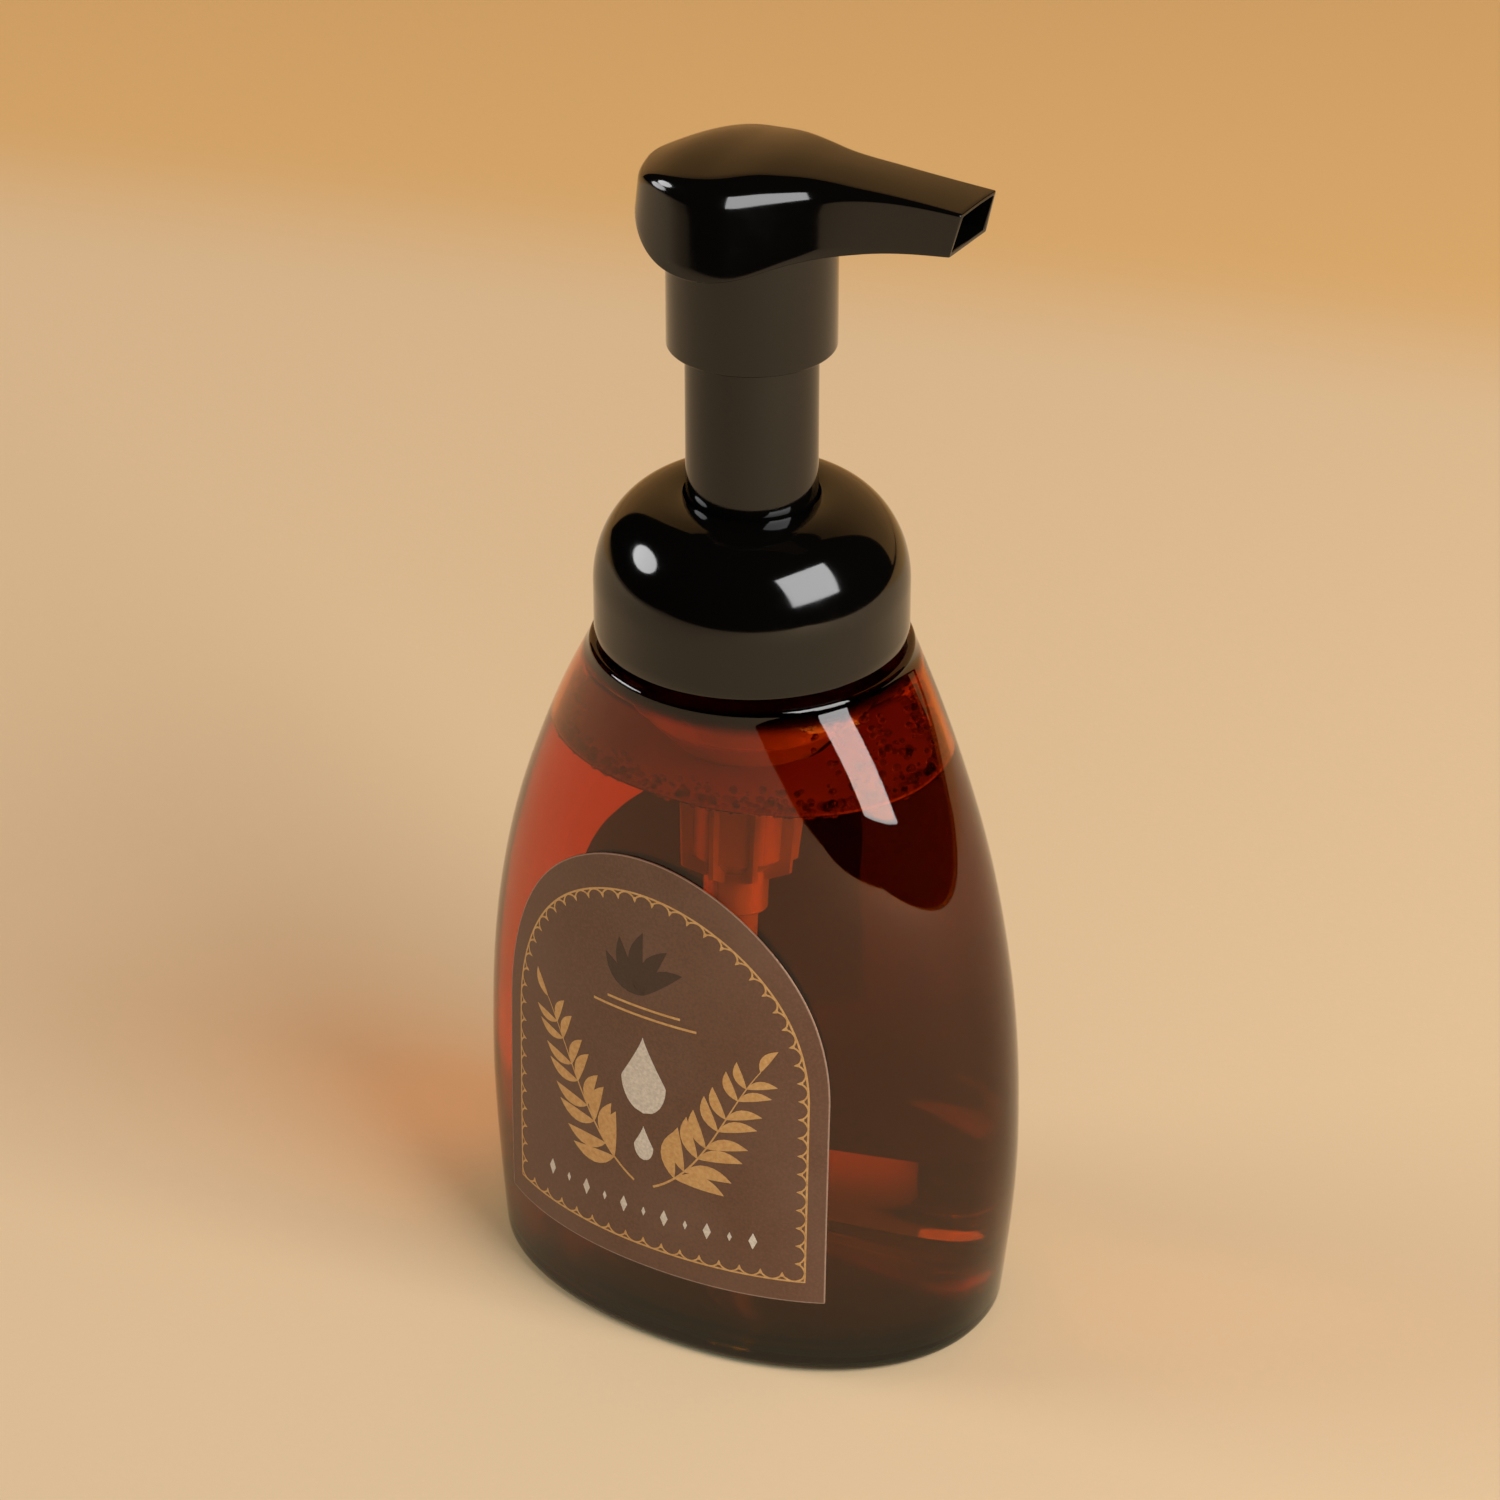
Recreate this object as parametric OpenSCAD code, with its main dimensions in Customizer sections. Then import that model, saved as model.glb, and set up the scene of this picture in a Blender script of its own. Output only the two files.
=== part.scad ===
// Foaming soap dispenser: an oval bottle with a screw-on foam pump.
// Millimetres, +Z up. The origin is the centre of the base, on the pump's axis.
// X is the bottle's long axis and the spout points along +X. The front face is at -Y.

/* [Bottle] */
// Height of the shoulder, just under the collar
shoulder_z = 102.8; // [96:0.1:110]
// How far the round shoulder stands out past the collar
shoulder_rim = 0.4; // [0.2:0.1:1.5]
// Half length of the base
base_half_len = 38.5; // [34:0.1:42]
// Half depth of the base
base_half_dep = 27.2; // [24:0.1:30]
// Height of the belly, the longest section
belly_z = 30; // [24:0.5:36]
// Half length at the belly
belly_half_len = 41.3; // [37:0.1:46]
// Half depth at the belly
belly_half_dep = 25.8; // [23:0.1:29]
// Height of the upper section, where the sides lean in
upper_z = 84; // [78:0.5:88]
// Half length at the upper section
upper_half_len = 31.6; // [29:0.1:34]
// Half depth at the upper section
upper_half_dep = 24; // [22.5:0.1:26]
// Power of the oval at the base, 2 is an ellipse
oval_power = 2.1; // [2:0.05:2.4]
// Wall of the bottle
bottle_wall = 1.2; // [0.8:0.1:1.8]
// Thickness of the base
base_t = 1.8; // [1.2:0.1:3]
// Height of the hollow under the base
push_up = 2.6; // [1:0.1:4]
// Rounding of the bottom edge
heel_r = 2; // [1:0.1:3]
// Outer radius of the neck
neck_r = 18.3; // [17:0.05:19.5]
// Wall of the neck
neck_wall = 2.1; // [1.6:0.1:2.4]
// Height of the neck's rim above the shoulder
neck_h = 11.7; // [10.5:0.1:13]

/* [Labels] */
// Sideways place of the front label
label_x = -2; // [-3:0.1:3]
// Half width of a label
label_half_w = 26.2; // [18:0.1:27]
// Height of a label's lower edge
label_z = 12.7; // [8:0.1:18]
// Height where a label's arch begins
label_arch_z = 45; // [38:0.1:52]
// Height of the top of a label's arch
label_top_z = 77.8; // [66:0.1:80]
// Thickness of a label
label_t = 0.15; // [0.08:0.01:0.3]

/* [Collar] */
// Room for the screw threads between the neck and the collar
thread_room = 1.7; // [1.3:0.05:2.2]
// Wall of the collar
collar_wall = 1.6; // [1.2:0.05:2]
// Gap between the shoulder and the collar's lower rim
collar_gap = 1.4; // [0.6:0.1:2]
// Height of the collar's dome above its straight side
dome_h = 13.3; // [11.5:0.1:15]
// Width of the flat round the collar's hole
dome_flat = 1.35; // [0.6:0.05:2]

/* [Pump housing] */
// Gap between the neck's bore and the air cylinder
air_room = 1; // [0.5:0.05:1.5]
// Wall of the air cylinder
air_wall = 1; // [0.8:0.05:1.2]
// Depth of the bowl under the straight bore
bowl_h = 6; // [4.5:0.1:7]
// Thickness of the flanges
flange_t = 1.6; // [1.2:0.1:1.8]
// Thickness of the neck gasket
gasket_t = 1.2; // [0.8:0.1:1.4]
// How far the liquid piston's seal stands out past the piston
seal_w = 1; // [0.9:0.05:1.2]
// Wall of the liquid cylinder
liquid_wall = 1; // [0.8:0.05:1.1]
// Number of ribs down the housing
housing_ribs = 8; // [4:1:12]
// Outer radius of the dip tube
tube_r = 2.7; // [2.4:0.05:3]
// Wall of the dip tube
tube_wall = 0.8; // [0.5:0.05:1]
// Length of the dip tube's socket
socket_len = 7; // [5:0.5:9]
// Gap between the dip tube's foot and the bottle's floor
foot_gap = 1.2; // [0.5:0.1:3]

/* [Plunger] */
// Travel of the pump head
stroke = 16; // [12:0.5:16]
// Wall of the stem
stem_wall = 1; // [0.8:0.05:1.2]
// Radius of the check balls
ball_r = 1.6; // [1.4:0.05:1.8]
// Lift of the check balls
ball_lift = 0.9; // [0.5:0.1:1.1]
// Wire diameter of the return spring
wire_d = 0.9; // [0.7:0.05:1]
// Turns of the return spring
spring_turns = 7.5; // [5:0.5:7.5]
// Length of the mesh cartridge
cartridge_len = 12.4; // [8:0.2:16]
// Bars across a mesh disc
mesh_bars = 7; // [3:2:9]

/* [Guide tube] */
// Width of the wiper between the stem and the guide tube
wiper_w = 1.6; // [1.4:0.05:1.9]
// Wall of the guide tube that stands up through the collar
guide_wall = 1.35; // [1.1:0.05:1.6]
// How far the guide tube reaches up into the head's sleeve
guide_lap = 4.6; // [4:0.1:5.3]

/* [Pump head] */
// Gap between the guide tube and the head's sleeve
sleeve_gap = 1.15; // [0.4:0.05:1.3]
// Wall of the sleeve
sleeve_wall = 1.3; // [1:0.05:1.5]
// Length of the sleeve below the head's body
sleeve_len = 12.7; // [12:0.1:14]
// Gap left between the sleeve and the collar at full press
press_gap = 5.8; // [4:0.1:8]
// Height of the head's crown above the end of the stem
crown_h = 7.1; // [6.9:0.1:8.5]
// Reach of the spout from the pump's axis
spout_reach = 33.3; // [30:0.1:36]
// Reach of the head's back from the pump's axis
back_reach = 15.6; // [15:0.1:17]
// Half width of the head
head_half_w = 14.1; // [13.8:0.1:16]
// Half width of the spout's mouth, outside
mouth_half_w = 4.9; // [4.6:0.1:5.2]
// Height of the spout's mouth, outside
mouth_h = 6.3; // [6.1:0.1:6.5]
// Wall of the spout at its mouth
mouth_wall = 0.6; // [0.5:0.05:0.7]
// How far the mouth's lower lip is set back
mouth_setback = 1.5; // [0:0.1:2.5]

/* [Hidden] */
$fn = 96;

// Clearances
run_gap = 0.05;       // radial, on running and push fits
seat_gap = 0.1;       // between a piece and its seat on another body
skin_gap = 0.12;      // between the faceted bottle and its labels
free_gap = 0.3;       // between pieces that pass each other
top_gap = 1;          // between the air piston's lip and the lid at rest
sink = 0.4;           // how deep joined shapes run into each other

// Radii of the pump, from the check balls outwards
cup_wall = 1.05;      // wall of the cups that hold the balls
hub_wall = 1.2;
foam_room = 0.8;      // between the air piston's hub and the stem's bore
piston_tube_r = ball_r + free_gap + cup_wall;
hub_bore_r = piston_tube_r + run_gap;
hub_r = hub_bore_r + hub_wall;
stem_bore_r = hub_r + foam_room;
stem_r = stem_bore_r + stem_wall;
guide_bore_r = stem_r + wiper_w;
guide_r = guide_bore_r + guide_wall;
sleeve_bore_r = guide_r + sleeve_gap;
sleeve_r = sleeve_bore_r + sleeve_wall;
liquid_r = piston_tube_r + seal_w + run_gap;
tower_r = liquid_r + liquid_wall;

// Radii of the neck, collar and housing
neck_bore_r = neck_r - neck_wall;
air_r = neck_bore_r - air_room;
air_bore_r = air_r - air_wall;
flange_r = neck_r;
collar_bore_r = neck_r + thread_room;
collar_r = collar_bore_r + collar_wall;
shoulder_r = collar_r + shoulder_rim;
press_r = neck_bore_r - 1; // bore of the collar's ledge, which presses on the lid
hole_r = guide_r + free_gap;
dome_axis_r = hole_r + dome_flat;
dome_w = collar_r - dome_axis_r;

// Sections of the bottle: height, half length, half depth
waist_z = (belly_z + upper_z) / 2;
waist_len = (belly_half_len + upper_half_len) / 2 + 2.4; // fuller than halfway
waist_dep = (belly_half_dep + upper_half_dep) / 2 + 0.6;
sections = [[0, base_half_len, base_half_dep],
            [belly_z, belly_half_len, belly_half_dep],
            [waist_z, waist_len, waist_dep],
            [upper_z, upper_half_len, upper_half_dep],
            [shoulder_z, shoulder_r, shoulder_r]];
ring_points = 56;
wall_rings = 16;
lip_r = 0.9;          // rounding of the shoulder's edge
web_t = 1.5;          // thickness of the shoulder's flat web
// The hollow under the base: shares of the base's oval, and of the hollow's depth
hollow = [[0.3, 1], [0.6, 0.8], [0.86, 0]];
hollow_in = 0.94;     // the floor inside, as a share of the hollow
neck_top = shoulder_z + neck_h;
floor_z = push_up + base_t;

// Heights of the pump's stack, from the neck's rim up
flange_z = neck_top + gasket_t;
lid_z = flange_z + flange_t;
plate_top = lid_z + flange_t;

// The collar's dome starts where its inside just clears the housing's flange
dome_in_w = dome_w - collar_wall;
dome_in_h = dome_h - collar_wall;
flange_gap = 0.42;
lid_gap = 0.2;
function quarter(share) = sqrt(1 - share * share);
collar_z = shoulder_z + collar_gap;
dome_z = lid_z - dome_in_h * quarter((flange_r + flange_gap - dome_axis_r) / dome_in_w);
dome_top = dome_z + dome_h;
lid_r = dome_axis_r + dome_in_w * quarter((plate_top - dome_z) / dome_in_h) - lid_gap;
sleeve_z = dome_top + stroke + press_gap;

// Plunger at rest, from the air piston's plate
lip_h = 3.4;          // the piston's lip above its plate
plate_t = 1.2;
skirt_h = 2.6;        // the piston's skirt below its plate
plate_z = lid_z - top_gap - lip_h - plate_t;
piston_bore_r = ball_r + 0.1;
piston_rise = 6;      // top of the liquid piston above the air piston's plate
piston_top = plate_z + piston_rise;
seal_h = 2.6;
seal_seat_t = 0.5;    // depth of the seal's seat on the piston

// Housing, deep enough for the whole stroke
bore_spare = 0.1;
tower_gap = 0.7;
spring_room = 0.8;    // between the tower and the spring
bowl_room = 1.5;      // between the spring and the bowl's wall
bore_foot = plate_z - skirt_h - stroke - bore_spare;
bowl_z = bore_foot - bowl_h;
bowl_floor_r = tower_r + spring_room + wire_d + bowl_room;
tower_top = plate_z - stroke - tower_gap;
seal_z = tower_top - free_gap - seal_h;

// Check valves: a ball on the edge of a hole, under the roof of its cup
valve_hole_r = ball_r - 0.4;
valve_seat_h = sqrt(ball_r * ball_r - valve_hole_r * valve_hole_r);
cup_roof = 0.8;
cup_h = valve_seat_h + ball_r + ball_lift + 2 * run_gap + cup_roof;
cage_top = seal_z - stroke - free_gap;
cage_z = cage_top - cup_h;
stop_top = piston_top + cup_h;
inlet_z = cage_z + valve_seat_h + run_gap;
outlet_z = piston_top + valve_seat_h + run_gap;

// Dip tube's socket, below the inlet valve
web_h = 1.4;
socket_top = cage_z - web_h;
socket_z = socket_top - socket_len;
socket_r = tube_r + run_gap + liquid_wall;

// Stem and mesh cartridge
hub_top = stop_top + seat_gap;
stem_foot = plate_z + plate_t;
stem_step = hub_top + free_gap;
cone_h = 1;           // height of the cone from the stem's foot bore to its main bore
mesh_t = 0.35;
cartridge_z = stem_step + cone_h + run_gap + mesh_t;

// Head
guide_top = sleeve_z + guide_lap;
head_ceiling = guide_top + stroke + free_gap + 0.2;
stem_top = head_ceiling - seat_gap;
body_foot = sleeve_z + sleeve_len;
socket_foot = body_foot - 2.2;                    // lower rim of the stem's socket in the head
socket_wall = wiper_w - run_gap - free_gap;
wiper_h = 2.6;
wiper_z = socket_foot - stroke - free_gap - wiper_h;
head_top = head_ceiling + crown_h;
mouth_drop = 1;                                   // how far the crown falls towards the mouth
mouth_edge = 0.2;                                 // how far the mouth's upper corners lie below its middle
mouth_foot = head_top - mouth_drop - mouth_h;
roof_t = 1.7;                                     // from the crown's highest line to the foam channel
floor_t = 0.7;                                    // floor between the sleeve's bore and the foam channel

function blend(a, b, t) = a + (b - a) * t;
function last(list) = len(list) - 1;

// A smooth curve through a table's rows: column k at the key value u
function gap_at(t, i) = t[i + 1][0] - t[i][0];
function rise_at(t, k, i) = (t[i + 1][k] - t[i][k]) / gap_at(t, i);
function inner_slope(t, k, i) =
    (rise_at(t, k, i - 1) * gap_at(t, i) + rise_at(t, k, i) * gap_at(t, i - 1))
    / (gap_at(t, i - 1) + gap_at(t, i));
function slope_at(t, k, i) =
    i == 0 ? (3 * rise_at(t, k, 0) - inner_slope(t, k, 1)) / 2
    : i == last(t) ? (3 * rise_at(t, k, i - 1) - inner_slope(t, k, i - 1)) / 2
    : inner_slope(t, k, i);
function span_of(t, u, i = 0) = i >= last(t) - 1 || u < t[i + 1][0] ? i : span_of(t, u, i + 1);
function curve(t, k, u) =
    let (i = span_of(t, u), h = gap_at(t, i), s = (u - t[i][0]) / h,
         s2 = s * s, s3 = s2 * s)
    (2 * s3 - 3 * s2 + 1) * t[i][k] + (s3 - 2 * s2 + s) * h * slope_at(t, k, i)
    + (3 * s2 - 2 * s3) * t[i + 1][k] + (s3 - s2) * h * slope_at(t, k, i + 1);

// Signed power, for superellipses
function spow(a, p) = sign(a) * pow(abs(a), p);

// The bottle's oval at height z, moved in by an inset
function half_len(z) = curve(sections, 1, z);
function half_dep(z) = curve(sections, 2, z);
function power_at(z) = blend(oval_power, 2, z / shoulder_z);
function oval_ring(z, inset, at) = [for (i = [0 : ring_points - 1])
    let (a = 360 * i / ring_points, p = 2 / power_at(at))
    [(half_len(at) - inset) * spow(cos(a), p), (half_dep(at) - inset) * spow(sin(a), p), z]];
function share_ring(z, share, inset) = [for (q = oval_ring(z, inset, 0)) [q[0] * share, q[1] * share, z]];
function round_ring(z, r) = [for (i = [0 : ring_points - 1])
    [r * cos(360 * i / ring_points), r * sin(360 * i / ring_points), z]];

// A closed skin over a list of rings with the same number of points
module loft(rings) {
    n = len(rings[0]);
    m = len(rings);
    polyhedron(
        points = [for (r = rings) for (p = r) p],
        faces = concat(
            [[for (i = [0 : n - 1]) i]],
            [for (j = [0 : m - 2]) for (i = [0 : n - 1])
                [j * n + i, (j + 1) * n + i, (j + 1) * n + (i + 1) % n, j * n + (i + 1) % n]],
            [[for (i = [n - 1 : -1 : 0]) (m - 1) * n + i]]),
        convexity = 6);
}

// A ring turned from a rectangle
module ring(r_out, r_in, z0, z1) {
    rotate_extrude()
        translate([r_in, z0])
            square([r_out - r_in, z1 - z0]);
}

module bottle() {
    wall_low = heel_r;
    wall_high = shoulder_z - lip_r;
    in_low = floor_z + heel_r;
    in_high = shoulder_z - web_t;
    outer = concat(
        [for (q = hollow) share_ring(push_up * q[1], q[0], heel_r)],
        [for (a = [0 : 30 : 90]) oval_ring(heel_r * (1 - cos(a)), heel_r * (1 - sin(a)), heel_r)],
        [for (i = [1 : wall_rings])
            let (z = blend(wall_low, wall_high, i / wall_rings)) oval_ring(z, 0, z)],
        [for (a = [30 : 30 : 90])
            oval_ring(wall_high + lip_r * sin(a), lip_r * (1 - cos(a)), wall_high)]);
    inner = concat(
        [round_ring(shoulder_z, neck_r - neck_wall / 2), round_ring(in_high, neck_r - neck_wall / 2)],
        [for (i = [0 : wall_rings])
            let (z = blend(in_high, in_low, i / wall_rings))
            oval_ring(z, i == 0 ? bottle_wall + lip_r : bottle_wall, z)],
        [oval_ring(base_t, bottle_wall + heel_r, heel_r)],
        [for (i = [last(hollow) : -1 : 0])
            share_ring(base_t + push_up * hollow[i][1], hollow_in * hollow[i][0], heel_r)]);
    color([0.45, 0.13, 0.04, 0.8]) {
        loft(concat(outer, inner));
        ring(neck_r, neck_bore_r, in_high - sink, neck_top);
    }
}

// One label: rows of points over the bottle's front, at an inner and an outer distance,
// with its middle at x0
arch_rows = 9;
side_rows = 4;
label_cols = 14;
function face_y(x, z) =
    -half_dep(z) * pow(1 - pow(abs(x) / half_len(z), power_at(z)), 1 / power_at(z));
function label_row(x0, w, z, off) = [for (i = [0 : label_cols])
    let (x = x0 + w * (2 * i / label_cols - 1)) [x, face_y(x, z) - off, z]];
function label_rows(x0, off) = concat(
    [for (j = [0 : side_rows])
        label_row(x0, label_half_w, blend(label_z, label_arch_z, j / side_rows), off)],
    [for (j = [1 : arch_rows])
        let (a = 86 * j / arch_rows)
        label_row(x0, label_half_w * cos(a), blend(label_arch_z, label_top_z, sin(a)), off)]);
module label(x0) {
    inner = label_rows(x0, skin_gap);
    outer = label_rows(x0, skin_gap + label_t);
    loft([for (j = [0 : len(inner) - 1])
        concat(outer[j], [for (i = [label_cols : -1 : 0]) inner[j][i]])]);
}
module front_label() {
    color([0.38, 0.27, 0.22]) label(label_x);
}
module back_label() {
    color([0.38, 0.27, 0.22]) mirror([0, 1, 0]) label(0);
}

module neck_gasket() {
    color([0.9, 0.9, 0.86]) ring(neck_r, neck_bore_r + seat_gap, neck_top, flange_z);
}

// Quarter of an ellipse in the r-z plane, from its side up to its top
function dome_arc(w, h, steps) = [for (i = [0 : steps])
    [dome_axis_r + w * cos(90 * i / steps), dome_z + h * sin(90 * i / steps)]];

module screw_collar() {
    ledge_w = 2;
    ledge_top = dome_z + dome_h * 0.8; // inside the dome's wall
    steps = 14;
    color([0.06, 0.055, 0.05]) {
        rotate_extrude()
            difference() {
                polygon(concat([[hole_r, collar_z], [collar_r, collar_z]], dome_arc(dome_w, dome_h, steps),
                               [[hole_r, dome_top]]));
                polygon(concat([[0, collar_z - 1], [collar_bore_r, collar_z - 1]],
                               dome_arc(dome_in_w, dome_in_h, steps), [[0, dome_z + dome_in_h]]));
            }
        ring(press_r + ledge_w, press_r, plate_top + seat_gap, ledge_top);
    }
}

// The lid, its guide tube and the ledge that holds the wiper
module pump_lid() {
    foot_w = 3;
    foot_h = 2.2;
    ledge_t = 1.6;
    ledge_z = wiper_z - seat_gap - ledge_t;
    color([0.06, 0.055, 0.05]) {
        ring(lid_r, guide_bore_r, lid_z, plate_top);
        ring(guide_r, guide_bore_r, plate_top - sink, guide_top);
        ring(guide_bore_r + sink, stem_r + free_gap, ledge_z, ledge_z + ledge_t);
        rotate_extrude()
            polygon([[guide_r - sink, plate_top - sink], [guide_r + foot_w, plate_top - sink],
                     [guide_r + foot_w, plate_top], [guide_r, plate_top + foot_h],
                     [guide_r - sink, plate_top + foot_h]]);
    }
}

module stem_wiper() {
    color([0.8, 0.8, 0.76])
        rotate_extrude()
            polygon([[stem_r + 0.6, wiper_z], [guide_bore_r - run_gap, wiper_z],
                     [guide_bore_r - run_gap, wiper_z + wiper_h], [stem_r + 0.9, wiper_z + wiper_h],
                     [stem_r + run_gap, wiper_z + wiper_h - 0.5], [stem_r + run_gap, wiper_z + 0.8]]);
}

// Flange, air cylinder, bowl, two steps, the thick foot of the liquid cylinder and the socket
module pump_housing() {
    foot_r = tower_r + 0.6;
    step_1_r = bowl_floor_r + 0.8;
    step_2_r = bowl_floor_r - 0.9;
    step_1_z = bowl_z - 1.2 * air_wall;
    step_2_z = step_1_z - 1.6;
    foot_z = step_2_z - 2.6;
    chamfer = 0.6;
    rib_t = 0.8;
    rib_foot = socket_top - 2;
    color([0.9, 0.85, 0.75, 0.6])
        difference() {
            union() {
                rotate_extrude()
                    polygon([[0, lid_z], [flange_r, lid_z], [flange_r, flange_z], [air_r, flange_z],
                             [air_r, bore_foot - sink], [step_1_r, step_1_z], [step_1_r, step_2_z],
                             [step_2_r, step_2_z], [step_2_r, foot_z], [foot_r, foot_z - chamfer],
                             [foot_r, cage_z], [socket_r, socket_top - chamfer],
                             [socket_r, socket_z], [0, socket_z]]);
                for (i = [0 : housing_ribs - 1])
                    rotate([0, 0, 360 * i / housing_ribs])
                        translate([socket_r - sink, -rib_t / 2, rib_foot])
                            cube([step_2_r - socket_r, rib_t, foot_z + sink - rib_foot]);
            }
            rotate_extrude()
                polygon([[tower_r, bowl_z], [bowl_floor_r, bowl_z], [air_bore_r, bore_foot],
                         [air_bore_r, lid_z + 1], [0, lid_z + 1], [0, tower_top], [tower_r, tower_top]]);
            translate([0, 0, cage_z])
                cylinder(r = liquid_r, h = tower_top - cage_z + 1);
            translate([0, 0, socket_top - 1])
                cylinder(r = valve_hole_r, h = web_h + 2);
            translate([0, 0, socket_z - 1])
                cylinder(r = tube_r + run_gap, h = socket_len + 1);
        }
}

module dip_tube() {
    tube_top = socket_top - seat_gap;
    tube_foot = floor_z + foot_gap;
    notch = 2.2;
    color([0.92, 0.9, 0.84, 0.8])
        difference() {
            translate([0, 0, tube_foot])
                cylinder(r = tube_r, h = tube_top - tube_foot);
            translate([0, 0, tube_foot - 1])
                cylinder(r = tube_r - tube_wall, h = tube_top - tube_foot + 2);
            translate([0, 0, tube_foot])
                rotate([0, 45, 0])
                    cube([notch, 4 * tube_r, notch], center = true);
        }
}

module ball(z) {
    translate([0, 0, z])
        sphere(r = ball_r);
}
module inlet_ball() {
    color([0.8, 0.85, 0.88]) ball(inlet_z);
}
module outlet_ball() {
    color([0.8, 0.85, 0.88]) ball(outlet_z);
}

// A cup with a slotted roof that keeps a check ball in
module ball_cup(r_out, foot) {
    r_in = ball_r + free_gap;
    slots = 3;
    slot_r = r_in / 3;
    slot_at = r_in * 0.62;
    difference() {
        ring(r_out, 0, foot, foot + cup_h);
        translate([0, 0, foot - 1])
            cylinder(r = r_in, h = cup_h - cup_roof + 1);
        for (i = [0 : slots - 1])
            rotate([0, 0, 360 * i / slots])
                translate([slot_at, 0, foot + cup_h - cup_roof - 1])
                    cylinder(r = slot_r, h = cup_roof + 2);
    }
}
module ball_cage() {
    color([0.9, 0.9, 0.86]) ball_cup(liquid_r - run_gap, cage_z);
}
module ball_stop() {
    color([0.9, 0.9, 0.86]) ball_cup(piston_tube_r, piston_top);
}

// The return spring: a round wire wound up between the bowl's floor and the air piston
spring_r = tower_r + spring_room + wire_d / 2;
spring_foot = bowl_z + wire_d / 2 + run_gap;
spring_head = plate_z - wire_d / 2 - run_gap;
wire_sides = 6;
turn_steps = 14;
closed_turns = 1;
function spring_height(t) =
    t < closed_turns ? wire_d * t
    : t > spring_turns - closed_turns ? spring_head - spring_foot - wire_d * (spring_turns - t)
    : blend(wire_d * closed_turns, spring_head - spring_foot - wire_d * closed_turns,
            (t - closed_turns) / (spring_turns - 2 * closed_turns));
function wire_ring(t) = [for (i = [0 : wire_sides - 1])
    let (a = 360 * i / wire_sides, r = spring_r + wire_d / 2 * cos(a), turn = 360 * t)
    [r * cos(turn), r * sin(turn), spring_foot + spring_height(t) - wire_d / 2 * sin(a)]];
module return_spring() {
    color([0.72, 0.72, 0.7])
        loft([for (i = [0 : turn_steps * spring_turns]) wire_ring(i / turn_steps)]);
}

module liquid_piston() {
    valve_land = 3;
    color([0.9, 0.9, 0.86])
        difference() {
            union() {
                translate([0, 0, seal_z])
                    cylinder(r = piston_tube_r - seal_seat_t, h = seal_h + 1);
                translate([0, 0, seal_z + seal_h])
                    cylinder(r = piston_tube_r, h = piston_top - seal_z - seal_h);
            }
            translate([0, 0, seal_z - 1])
                cylinder(r = piston_bore_r, h = piston_top - valve_land - seal_z + 1);
            translate([0, 0, piston_top - valve_land - 1])
                cylinder(r = valve_hole_r, h = valve_land + 2);
        }
}

// A soft ring with a lip at each end and a groove between them
module piston_seal() {
    lip = 0.7;
    groove = 0.4;
    body = 0.3;
    r_in = piston_tube_r - seal_seat_t + run_gap;
    r_out = liquid_r - run_gap;
    top = seal_z + seal_h - run_gap;
    color([0.25, 0.25, 0.25])
        rotate_extrude()
            polygon([[r_in, seal_z + body], [r_out - body, seal_z + body], [r_out, seal_z],
                     [r_out, seal_z + lip], [r_out - groove, seal_z + lip + groove],
                     [r_out - groove, top - lip - groove], [r_out, top - lip], [r_out, top],
                     [r_in, top]]);
}

// The wide piston: a plate with a hub, a lip up and a lip down
inlet_in = 4;         // how far the inlets stand in from the air cylinder's bore
valve_ring_r = air_bore_r - inlet_in;
module air_piston() {
    lip_t = 0.9;
    flare = 0.5;
    edge = 1.2;
    bevel = 0.5;
    out = air_bore_r - run_gap;
    root = out - flare;
    top = plate_z + plate_t + lip_h;
    foot = plate_z - skirt_h;
    ports = 4;
    port_r = 0.55;
    inlets = 8;
    inlet_r = 0.7;
    color([0.92, 0.92, 0.88])
        difference() {
            union() {
                ring(root, hub_bore_r, plate_z, plate_z + plate_t);
                ring(hub_r, hub_bore_r, plate_z, hub_top);
                rotate_extrude()
                    polygon([[root - lip_t, foot + 2 * bevel], [root, foot + bevel], [out, foot],
                             [out, foot + edge], [root, plate_z], [root, plate_z + plate_t],
                             [out, top - edge], [out, top], [root, top - bevel],
                             [root - lip_t, top - 2 * bevel]]);
            }
            for (i = [0 : ports - 1])
                rotate([0, 0, 360 * i / ports])
                    translate([hub_r, 0, plate_z - 1])
                        cylinder(r = port_r, h = hub_top - plate_z + 2, $fn = 24);
            for (i = [0 : inlets - 1])
                rotate([0, 0, 360 * (i + 0.5) / inlets])
                    translate([valve_ring_r, 0, plate_z - 1])
                        cylinder(r = inlet_r, h = plate_t + 2, $fn = 24);
        }
}

// The soft flap under the air piston's inlets
module air_valve_ring() {
    flap_t = 0.5;
    flap_half_w = 1.5;
    top = plate_z - seat_gap;
    color([0.3, 0.3, 0.3])
        ring(valve_ring_r + flap_half_w, valve_ring_r - flap_half_w, top - flap_t, top);
}

module stem() {
    foot_bore_r = hub_r + run_gap;
    color([0.92, 0.92, 0.88])
        rotate_extrude()
            polygon([[foot_bore_r, stem_foot], [stem_r, stem_foot], [stem_r, stem_top],
                     [stem_bore_r, stem_top], [stem_bore_r, stem_step + cone_h],
                     [foot_bore_r, stem_step]]);
}

module mesh_cartridge() {
    cartridge_wall = 0.85;
    r_out = stem_bore_r - run_gap;
    color([0.92, 0.92, 0.88])
        ring(r_out, r_out - cartridge_wall, cartridge_z, cartridge_z + cartridge_len);
}

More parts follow.
